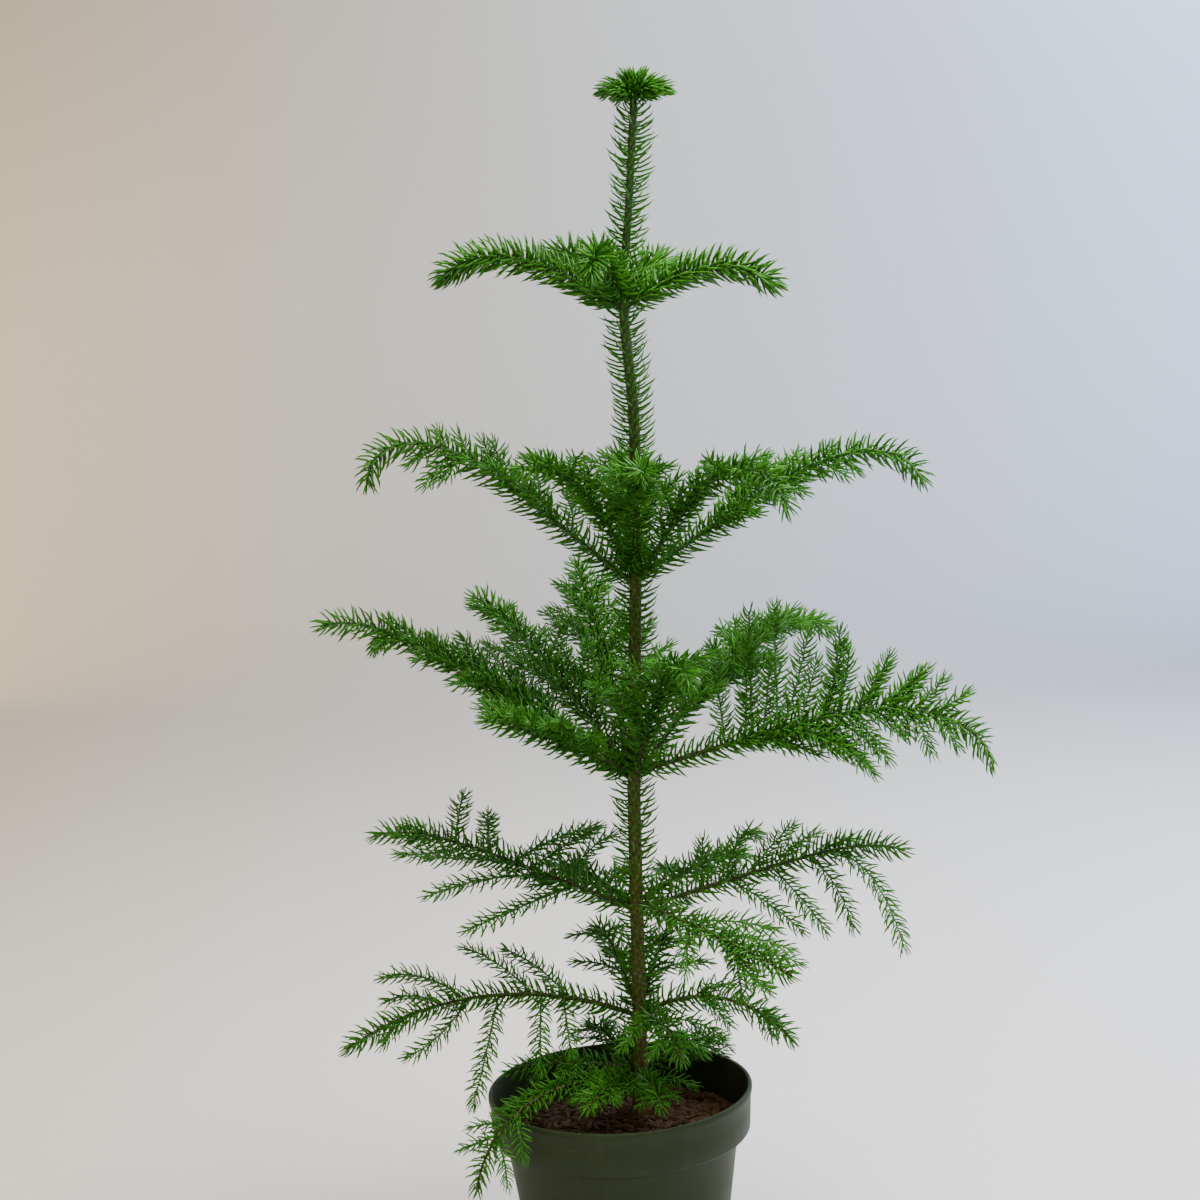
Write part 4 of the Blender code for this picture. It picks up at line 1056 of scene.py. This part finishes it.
class Needles:
    """Gathers a piece's needles: where each stands, how it lies, and its shade."""

    def __init__(self, seed):
        self.rng = np.random.default_rng(seed)
        self.parts = []

    def clothe(self, stem, habit, shade, start=0.0, lean_tip=30.0, share=1.0):
        """Needles all along a stem from its start, in the spiral that the species has.

        They close in to lean_tip degrees at the stem's tip. shade picks the finish of each, and
        share is their length against the habit's.
        """
        rng = self.rng
        count = int((stem.length - start) / habit.spacing)
        if count < 1:
            return
        at = start + (np.arange(count) + rng.uniform(0.0, 0.7, count)) * habit.spacing
        left = stem.length - at
        turn = np.arange(count) * GOLDEN + rng.normal(0.0, 0.10, count)
        turn = turn - habit.comb * np.sin(2 * turn)
        forward = stem.read(stem.tangents, at)
        out = np.cos(turn)[:, None] * stem.read(stem.sides, at)
        out = out + np.sin(turn)[:, None] * stem.read(stem.ups, at)
        close = np.interp(left, (0.0, 0.004, 0.014), (1.0, 0.55, 0.0))
        lean = habit.lean + habit.lift * np.sin(turn) + rng.normal(0.0, habit.swing, count)
        angle = np.radians(lean + (lean_tip - lean) * close)[:, None]
        way = np.cos(angle) * forward + np.sin(angle) * out
        over = np.sin(angle) * forward - np.cos(angle) * out
        size = share * habit.length * rng.uniform(0.84, 1.10, count) * (1.0 - 0.34 * close)
        size *= np.interp(at, (start, start + 0.006), (0.72, 1.0))
        radius = np.interp(at, stem.marks, stem.radii)
        origins = stem.read(stem.points, at) + out * (radius * 0.7)[:, None]
        axes = np.stack((over, np.cross(way, over), way), axis=2) * size[:, None, None]
        tips = origins + (way * 0.9 + over * 0.25) * size[:, None]
        low, high = np.array(CAD_BOX[0]), np.array(CAD_BOX[1])
        keep = ((tips > low) & (tips < high + np.array((0, 0, CROWN_PROUD)))).all(axis=1)
        keep &= clear_of_pot(tips, NEEDLE_CLEAR)
        keep &= clear_of_pot((tips + origins) / 2, NEEDLE_CLEAR)
        kinds = rng.integers(0, len(NEEDLE_BENDS), count)
        # np.sin(turn) is how far each needle faces up, which the shades use for painted light.
        shades = shade(at, left, np.sin(turn), rng)
        self.parts.append((kinds[keep], origins[keep], axes[keep], shades[keep]))

    def piece(self, name, shapes):
        """All the gathered needles as one mesh."""
        kinds, origins, axes, shades = (np.concatenate(each) for each in zip(*self.parts))
        return stamped(name, shapes, kinds, origins, axes, shades)


def shading(young, lower):
    """Which shade a needle takes: fresh towards the stem's tip, and lighter where it faces up and
    deeper beneath, which is painted light.
    """
    ladder = (DEEP, SHADE, SHADE, SHADE_TIP) if lower else (DEEP, MIDDLE, FRESH, TIP)

    def shade(at, left, upper, rng):
        fresh = young + np.interp(left, (0.0, 0.006, 0.022, 0.090), (1.9, 1.3, 0.7, 0.0))
        # Painted light: needles that face up take the lighter shades and those beneath the deeper
        # ones.
        fresh += 0.8 * upper + rng.normal(0.0, 0.35, len(at))
        step = np.clip(np.round(fresh), 0, 3).astype(int)
        picked = np.array(ladder)[step]
        picked[rng.random(len(at)) < DRY_SHARE] = DRY
        return picked

    return shade


# Operators -------------------------------------------------------------------------------------

class PINE_OT_stage(bpy.types.Operator):
    """Adds the pale floor and wall, the soft lights and the camera."""
    bl_idname = "pine.stage"
    bl_label = "Stage"

    def execute(self, context):
        settings = context.scene.pine_stage
        self.add_room(settings)
        self.add_lights(context, settings)
        self.add_camera(context, settings)
        return {"FINISHED"}

    def add_room(self, settings):
        """A round floor whose edge curves up into a wall, open at the top."""
        flat = ROOM_REACH - ROOM_CURVE
        stations = [(0.4, 0.0), (flat, 0.0)]
        for step in range(1, ROOM_STEPS + 1):
            angle = math.pi / 2 * step / ROOM_STEPS
            radius = flat + ROOM_CURVE * math.sin(angle)
            stations.append((radius, ROOM_CURVE * (1 - math.cos(angle))))
        stations.append((ROOM_REACH, ROOM_HEIGHT))
        room = lathe("studio_room", stations, 96)
        work = bmesh.new()
        work.from_mesh(room.data)
        top = [face for face in work.faces if face.calc_center_median().z > ROOM_HEIGHT - 0.001]
        bmesh.ops.delete(work, geom=top, context="FACES")
        bmesh.ops.reverse_faces(work, faces=work.faces)
        work.to_mesh(room.data)
        work.free()
        room.data.shade_smooth()
        made = Finish("studio_paint", roughness=0.9, specular=0.1)
        across = made.node("ShaderNodeSeparateXYZ", {}, {"Vector": made.places}, "X")
        right = made.between(across, -1.3, 1.1)
        # Painted shade: the wall is darkened high up on the left, towards a third of its warm
        # colour.
        painted_shade_high_left = made.between(made.height(), 0.5, 2.0) * made.between(0.0 - across, 0.0, 1.3)
        paint = made.mix(right, settings.warm, settings.cool)
        made.feed("Base Color", made.mix(painted_shade_high_left, paint, times(0.3, settings.warm)))
        room.data.materials.append(made.material)

    def add_lights(self, context, settings):
        world = bpy.data.worlds.new("room_light")
        world.use_nodes = True
        sky = world.node_tree.nodes["Background"]
        sky.inputs["Color"].default_value = (0.93, 0.95, 1.0, 1.0)
        sky.inputs["Strength"].default_value = settings.sky
        context.scene.world = world
        for light in LIGHTS:
            data = bpy.data.lights.new(light.name, "AREA")
            data.energy = getattr(settings, light.name)
            data.size = light.side
            data.color = light.colour
            lamp = bpy.data.objects.new(light.name, data)
            lamp.location = light.place
            on_wall = Vector((lamp.location.x * 0.8, ROOM_REACH, lamp.location.z))
            target = on_wall if light.name.startswith("wall") else PLANT_MIDDLE
            lamp.rotation_euler = (target - lamp.location).to_track_quat("-Z", "Y").to_euler()
            context.collection.objects.link(lamp)

    def add_camera(self, context, settings):
        """A camera that frames the centre of the pot's rim at its own pixel."""
        data = bpy.data.cameras.new("camera")
        data.lens = settings.lens
        data.sensor_width = SENSOR
        camera = bpy.data.objects.new("camera", data)
        context.collection.objects.link(camera)
        context.scene.camera = camera
        rim = Vector((0, 0, POT_HEIGHT))
        pixels = settings.lens / SENSOR * FRAME_SIZE
        ahead = Vector((0, math.cos(settings.pitch), -math.sin(settings.pitch)))
        level = Vector((1, 0, 0))
        rise = level.cross(ahead)
        cos, sin = math.cos(settings.roll), math.sin(settings.roll)
        right = level * cos - rise * sin
        upward = level * sin + rise * cos
        across, down = ((pixel - FRAME_SIZE / 2) / pixels for pixel in RIM_PIXEL)
        place = Matrix((right, upward, -ahead)).transposed().to_4x4()
        place.translation = rim - (ahead + right * across - upward * down) * settings.distance
        camera.matrix_world = place


class PINE_OT_pot(bpy.types.Operator):
    """Adds the turned nursery pot, with its deep collar, rolled lip and drain holes."""
    bl_idname = "pine.pot"
    bl_label = "Pot"

    def execute(self, context):
        settings = context.scene.pine_pot
        pot = lathe("pot_shell", self.profile(settings.wall), POT_SIDES)
        self.drill(pot)
        pot.data.shade_smooth()
        pot.data.set_sharp_from_angle(angle=math.radians(38))
        finished(pot, [plastic_finish(settings)], ["pot"])
        return {"FINISHED"}

    def profile(self, wall):
        """(radius, height) from the underside, up the outside, over the lip and down inside."""
        below = wall_radius(COLLAR_LOW)
        outside = [
            (wall_radius(0) - 0.0070, 0.0),
            (wall_radius(0) - FOOT_ROUND, 0.0),
            (wall_radius(0) - 0.0004, 0.0005),
            (wall_radius(0.002), 0.002),
        ]
        outside += [(wall_radius(z), z) for z in (0.03, 0.06, 0.09, COLLAR_LOW - 0.0008)]
        outside += [
            (below + 0.0004, COLLAR_LOW),
            (COLLAR_RADIUS - 0.0008, COLLAR_LOW + COLLAR_CHAMFER - 0.0006),
            (COLLAR_RADIUS, COLLAR_LOW + COLLAR_CHAMFER + 0.0006),
            (COLLAR_RADIUS + COLLAR_TAPER * 0.35, COLLAR_LOW + 0.016),
            (RIM_RADIUS - LIP_PROUD, LIP_LOW - 0.0012),
            (RIM_RADIUS - 0.0002, LIP_LOW - 0.0003),
            (RIM_RADIUS, LIP_LOW + 0.0005),
            (RIM_RADIUS, POT_HEIGHT - 0.0010),
            (RIM_RADIUS - 0.0003, POT_HEIGHT - 0.0003),
            (RIM_RADIUS - 0.0010, POT_HEIGHT),
        ]
        inside = [
            (RIM_RADIUS - LIP_PROUD - wall + 0.0004, POT_HEIGHT - 0.0002),
            (RIM_RADIUS - LIP_PROUD - wall, POT_HEIGHT - 0.0012),
            (COLLAR_RADIUS - wall, COLLAR_LOW + COLLAR_CHAMFER),
            (below - wall, COLLAR_LOW),
            (wall_radius(0.004) - wall, 0.004),
            (wall_radius(0) - FOOT_ROUND - wall, wall),
        ]
        return outside + inside

    def drill(self, pot):
        """Cuts the ring of drain holes through the floor."""
        for number in range(DRAIN_HOLES):
            place = heading(2 * math.pi * number / DRAIN_HOLES, 0.0) * DRAIN_REACH
            deselect()
            bpy.ops.mesh.primitive_cylinder_add(
                vertices=32, radius=DRAIN_RADIUS, depth=0.02, location=place
            )
            cutter = bpy.context.object
            apply(pot, "BOOLEAN", operation="DIFFERENCE", object=cutter)
            bpy.data.objects.remove(cutter)


class PINE_OT_soil(bpy.types.Operator):
    """Adds the soil, a lumpy bed heaped round the trunk's foot."""
    bl_idname = "pine.soil"
    bl_label = "Soil"

    def execute(self, context):
        settings = context.scene.pine_soil
        reach = float(inside_radius(SOIL_LEVEL)) - SOIL_ROOM
        stations = [(float(inside_radius(0.004)) - 0.003, POT_WALL + 0.0003)]
        heights = (0.006, 0.06, COLLAR_LOW, COLLAR_LOW + COLLAR_CHAMFER)
        stations += [(float(inside_radius(z)) - SOIL_ROOM, z) for z in heights]
        stations += [(reach * (1 - ring / SOIL_RINGS), SOIL_LEVEL) for ring in range(SOIL_RINGS)]
        bed = lathe("soil_bed", stations, SOIL_SIDES)
        for vertex in bed.data.vertices:
            if vertex.co.z > SOIL_LEVEL - 0.0001:
                self.heave(vertex, reach)
        bed.data.shade_smooth()
        finished(bed, [soil_finish(settings)], ["soil"])
        return {"FINISHED"}

    def heave(self, vertex, reach):
        """Lifts a point of the bed's top to the soil's heaped and broken surface."""
        x, y, _ = vertex.co
        edge = min(1.0, (reach - math.hypot(x, y)) / SOIL_EDGE)
        rough = noise.turbulence(Vector((x, y, 0.0)) * 210.0, 4, False) - 0.45
        clods = noise.noise(Vector((x, y, 3.0)) * 110.0)
        height = soil_top(x, y) - 0.0006 + (rough * 0.0016 + clods * 0.0012) * edge
        vertex.co.z = max(height, COLLAR_LOW + COLLAR_CHAMFER + 0.0003)


class PINE_OT_crumbs(bpy.types.Operator):
    """Adds the loose crumbs of peat, bark, perlite and straw on the soil."""
    bl_idname = "pine.crumbs"
    bl_label = "Soil crumbs"

    def execute(self, context):
        settings = context.scene.pine_soil
        shapes = [self.model_crumb(seed, 2) for seed in range(CRUMB_SHAPES)]
        shapes += [self.model_crumb(CRUMB_SHAPES + seed, 1) for seed in range(CRUMB_SHAPES)]
        rng = np.random.default_rng(11)
        kinds, origins, axes, shades = [], [], [], []
        foot = TRUNK_KNOTS[0]
        while len(kinds) < settings.crumbs:
            shade = int(rng.choice(len(CRUMBS), p=[crumb.share for crumb in CRUMBS]))
            size = rng.uniform(CRUMB_LEAST, CRUMBS[shade].size)
            long = rng.uniform(1.0, CRUMBS[shade].long)
            thin = rng.uniform(*CRUMB_THINS)
            reach = float(inside_radius(SOIL_LEVEL)) - 0.0015 - 1.5 * size * long
            radius = reach * math.sqrt(rng.random())
            x, y, _ = heading(rng.uniform(0, 2 * math.pi), 0.0) * radius
            if math.hypot(x - foot[1], y - foot[2]) < CRUMB_CLEAR:
                continue
            turn = Matrix.Rotation(rng.uniform(0, 2 * math.pi), 3, "Z")
            tip = Matrix.Rotation(rng.normal(0.0, CRUMB_TILT), 3, "X")
            scale = Matrix.Diagonal((size * long, size, size * thin))
            coarse = CRUMB_SHAPES if size < CRUMB_FINE else 0
            kinds.append(int(rng.integers(0, CRUMB_SHAPES)) + coarse)
            origins.append((x, y, soil_top(x, y) + size * thin * 0.35))
            axes.append(np.array(turn @ tip @ scale))
            shades.append(shade)
        copies = (np.array(each) for each in (kinds, origins, axes, shades))
        crumbs = stamped("soil_crumbs", shapes, *copies)
        crumbs.data.set_sharp_from_angle(angle=math.radians(35))
        finishes = [
            crumb_finish(f"crumb_{crumb.name}", getattr(settings, crumb.name), crumb.contrast)
            for crumb in CRUMBS
        ]
        finished(crumbs, finishes, [])
        return {"FINISHED"}

    def model_crumb(self, seed, fineness):
        """A broken lump: a small sphere pushed about by noise."""
        deselect()
        bpy.ops.mesh.primitive_ico_sphere_add(subdivisions=fineness, radius=1.0)
        lump = named("crumb")
        for vertex in lump.data.vertices:
            vertex.co *= 1.0 + 0.5 * noise.noise(vertex.co * 1.3 + Vector((seed * 7.0, 0, 0)))
        return arrays_of(lump)


class PINE_OT_trunk(bpy.types.Operator):
    """Adds the trunk, with its taper, its bark and a raised base under every needle."""
    bl_idname = "pine.trunk"
    bl_label = "Trunk"

    def execute(self, context):
        settings = context.scene.pine_bark
        stem = trunk_stem()
        points = [(*TRUNK_KNOTS[0][1:], TRUNK_FOOT - 0.004)] + [tuple(p) for p in stem.points]
        radii = [trunk_radius(TRUNK_FOOT)] + list(stem.radii)
        trunk = tubes("trunk_bark", [(np.array(points), np.array(radii))], 10, upright=True)
        self.raise_bases(trunk, stem, settings.relief)
        trunk.data.shade_smooth()
        finished(trunk, [trunk_finish(settings)], ["trunk"])
        return {"FINISHED"}

    def raise_bases(self, trunk, stem, relief):
        """Lifts the bark under each needle's root and ridges it all over."""
        count = int(stem.length / LEADER_HABIT.spacing)
        at = np.arange(count) * LEADER_HABIT.spacing
        turn = np.arange(count) * GOLDEN
        radius = np.interp(at, stem.marks, stem.radii)
        out = np.cos(turn)[:, None] * stem.read(stem.sides, at)
        out = out + np.sin(turn)[:, None] * stem.read(stem.ups, at)
        roots = stem.read(stem.points, at) + out * radius[:, None]
        tree = kdtree.KDTree(count)
        for index, root in enumerate(roots):
            tree.insert(root, index)
        tree.balance()
        normals = [vertex.normal.copy() for vertex in trunk.data.vertices]
        mark = trunk.data.attributes.new(BASE_MARK, "FLOAT", "POINT")
        for vertex, normal in zip(trunk.data.vertices, normals):
            off = tree.find(vertex.co)[2]
            base = math.exp(-(off / BASE_REACH) ** 2)
            mark.data[vertex.index].value = base
            ridge = noise.noise(vertex.co * Vector((900, 900, 260)))
            vertex.co += normal * (relief * 1.6 * base + ridge * relief * 0.6)


class PINE_OT_limbs(bpy.types.Operator):
    """Adds the bark of the boughs and of every limb that grows on from them."""
    bl_idname = "pine.limbs"
    bl_label = "Limbs"

    def execute(self, context):
        settings = context.scene.pine_bark
        stems = [stem for tier in TIERS for stem in limb_stems(tier) if stem.order == 1]
        limbs = tubes("bough_bark", [(stem.points, stem.radii) for stem in stems], 2)
        for vertex in limbs.data.vertices:
            vertex.co += vertex.normal * noise.noise(vertex.co * 700.0) * settings.relief * 0.7
        limbs.data.shade_smooth()
        finishes = [
            stem_finish("limb_old", settings.old_limb, 0.75),
            stem_finish("limb_green", settings.green_limb, 0.6),
        ]
        nodes = [name for name in nodes_like("tier_") if "bough" in name]
        finished(limbs, finishes, nodes)
        for face in limbs.data.polygons:
            face.material_index = int(face.center.z > GREEN_LIMBS)
        return {"FINISHED"}


class PINE_OT_twigs(bpy.types.Operator):
    """Adds the green side twigs."""
    bl_idname = "pine.twigs"
    bl_label = "Twigs"

    def execute(self, context):
        stems = [stem for tier in TIERS for stem in limb_stems(tier) if stem.order == 2]
        stems += list(tuft_stems())
        clear = filter(clears_pot, stems)
        twigs = tubes("twig_skin", [(stem.points[::2], stem.radii[::2]) for stem in clear], 0)
        twigs.data.shade_smooth()
        skin = stem_finish("twig_green", context.scene.pine_bark.twig, 0.55)
        finished(twigs, [skin], [])
        return {"FINISHED"}


class PINE_OT_needles(bpy.types.Operator):
    """Adds the needles of one tier, or of the crown tuft."""
    bl_idname = "pine.needles"
    bl_label = "Needles"

    tier: bpy.props.IntProperty(
        name="Tier", description="Number of the tier, from the lowest up. 8 is the crown tuft",
        default=1, min=1, max=len(TIERS) + 1,
    )

    def execute(self, context):
        shapes = [model_needle(LIMB_NEEDLE, bend) for bend in NEEDLE_BENDS]
        settings = context.scene.pine_foliage
        finishes = needle_finishes(settings)
        if self.tier > len(TIERS):
            self.crown(shapes, finishes, settings.size)
        else:
            self.ring(TIERS[self.tier - 1], shapes, finishes, settings.size)
        return {"FINISHED"}

    def ring(self, tier, shapes, finishes, size):
        """The needles of one tier's limbs and twigs."""
        number = TIERS.index(tier)
        share = TIER_SIZES[number] * size
        needles = Needles(100 + number)
        shade = shading(TIER_YOUTH[number], number < LOWER_TIERS)
        young = number == len(TIERS) - 1
        for stem in limb_stems(tier):
            if stem.order == 1:
                start = trunk_radius(tier.height) + 0.002
                habit = YOUNG_HABIT if young else LIMB_HABIT
                needles.clothe(stem, habit, shade, start, share=share)
            elif clears_pot(stem):
                needles.clothe(stem, TWIG_HABIT, shade, 0.002, share=share)
        piece = needles.piece(f"{tier.name}_needles", shapes)
        finished(piece, finishes, nodes_like(f"{tier.name}_foliage"))

    def crown(self, shapes, finishes, size):
        """The needles of the crown tuft."""
        needles = Needles(200)
        shade = shading(TIER_YOUTH[-1], False)
        for stem in tuft_stems():
            needles.clothe(stem, TUFT_HABIT, shade, lean_tip=22, share=size)
        piece = needles.piece("crown_tuft_needles", shapes)
        finished(piece, finishes, ["crown_tuft"])


class PINE_OT_trunk_needles(bpy.types.Operator):
    """Adds the curved needles that stand on the trunk, from low down to the leader's tip."""
    bl_idname = "pine.trunk_needles"
    bl_label = "Trunk needles"

    def execute(self, context):
        shapes = [model_needle(LEADER_NEEDLE, TRUNK_BEND * bend) for bend in NEEDLE_BENDS]
        settings = context.scene.pine_foliage
        stem = trunk_stem()
        heights = stem.points[:, 2]
        start = float(np.interp(TRUNK_BARE, heights, stem.marks))

        def shade(at, left, upper, rng):
            height = np.interp(at, stem.marks, heights)
            fresh = np.interp(height, (0.16, 0.45, 0.75), (0.0, 0.3, 1.2))
            step = np.clip(np.round(fresh + rng.normal(0.0, 0.4, len(at))), 0, 2).astype(int)
            return np.array((DEEP, MIDDLE, FRESH))[step]

        needles = Needles(300)
        needles.clothe(stem, LEADER_HABIT, shade, start, lean_tip=60, share=settings.size)
        piece = needles.piece("trunk_needles", shapes)
        finished(piece, needle_finishes(settings), [])
        return {"FINISHED"}


class PINE_PT_pieces(bpy.types.Panel):
    """Lists the pieces, in the order that they are added."""
    bl_label = "Potted pine"
    bl_idname = "PINE_PT_pieces"
    bl_space_type = "VIEW_3D"
    bl_region_type = "UI"
    bl_category = "Pine"

    def draw(self, context):
        for operator in OPERATORS:
            self.layout.operator(operator.bl_idname)
        for name in SETTINGS:
            settings = getattr(context.scene, name)
            box = self.layout.box()
            for field in type(settings).__annotations__:
                box.prop(settings, field)


OPERATORS = (
    PINE_OT_stage,
    PINE_OT_pot,
    PINE_OT_soil,
    PINE_OT_crumbs,
    PINE_OT_trunk,
    PINE_OT_limbs,
    PINE_OT_twigs,
    PINE_OT_needles,
    PINE_OT_trunk_needles,
)
CLASSES = (*SETTINGS.values(), *OPERATORS, PINE_PT_pieces)


def register():
    for each in CLASSES:
        bpy.utils.register_class(each)
    for name, group in SETTINGS.items():
        setattr(bpy.types.Scene, name, bpy.props.PointerProperty(type=group))


def unregister():
    for name in SETTINGS:
        delattr(bpy.types.Scene, name)
    for each in reversed(CLASSES):
        bpy.utils.unregister_class(each)


def main():
    register()
    bpy.ops.pine.stage()
    bpy.ops.pine.pot()
    bpy.ops.pine.soil()
    bpy.ops.pine.crumbs()
    bpy.ops.pine.trunk()
    bpy.ops.pine.limbs()
    bpy.ops.pine.twigs()
    for tier in range(1, len(TIERS) + 2):
        bpy.ops.pine.needles(tier=tier)
    bpy.ops.pine.trunk_needles()


if __name__ == "__main__":
    main()
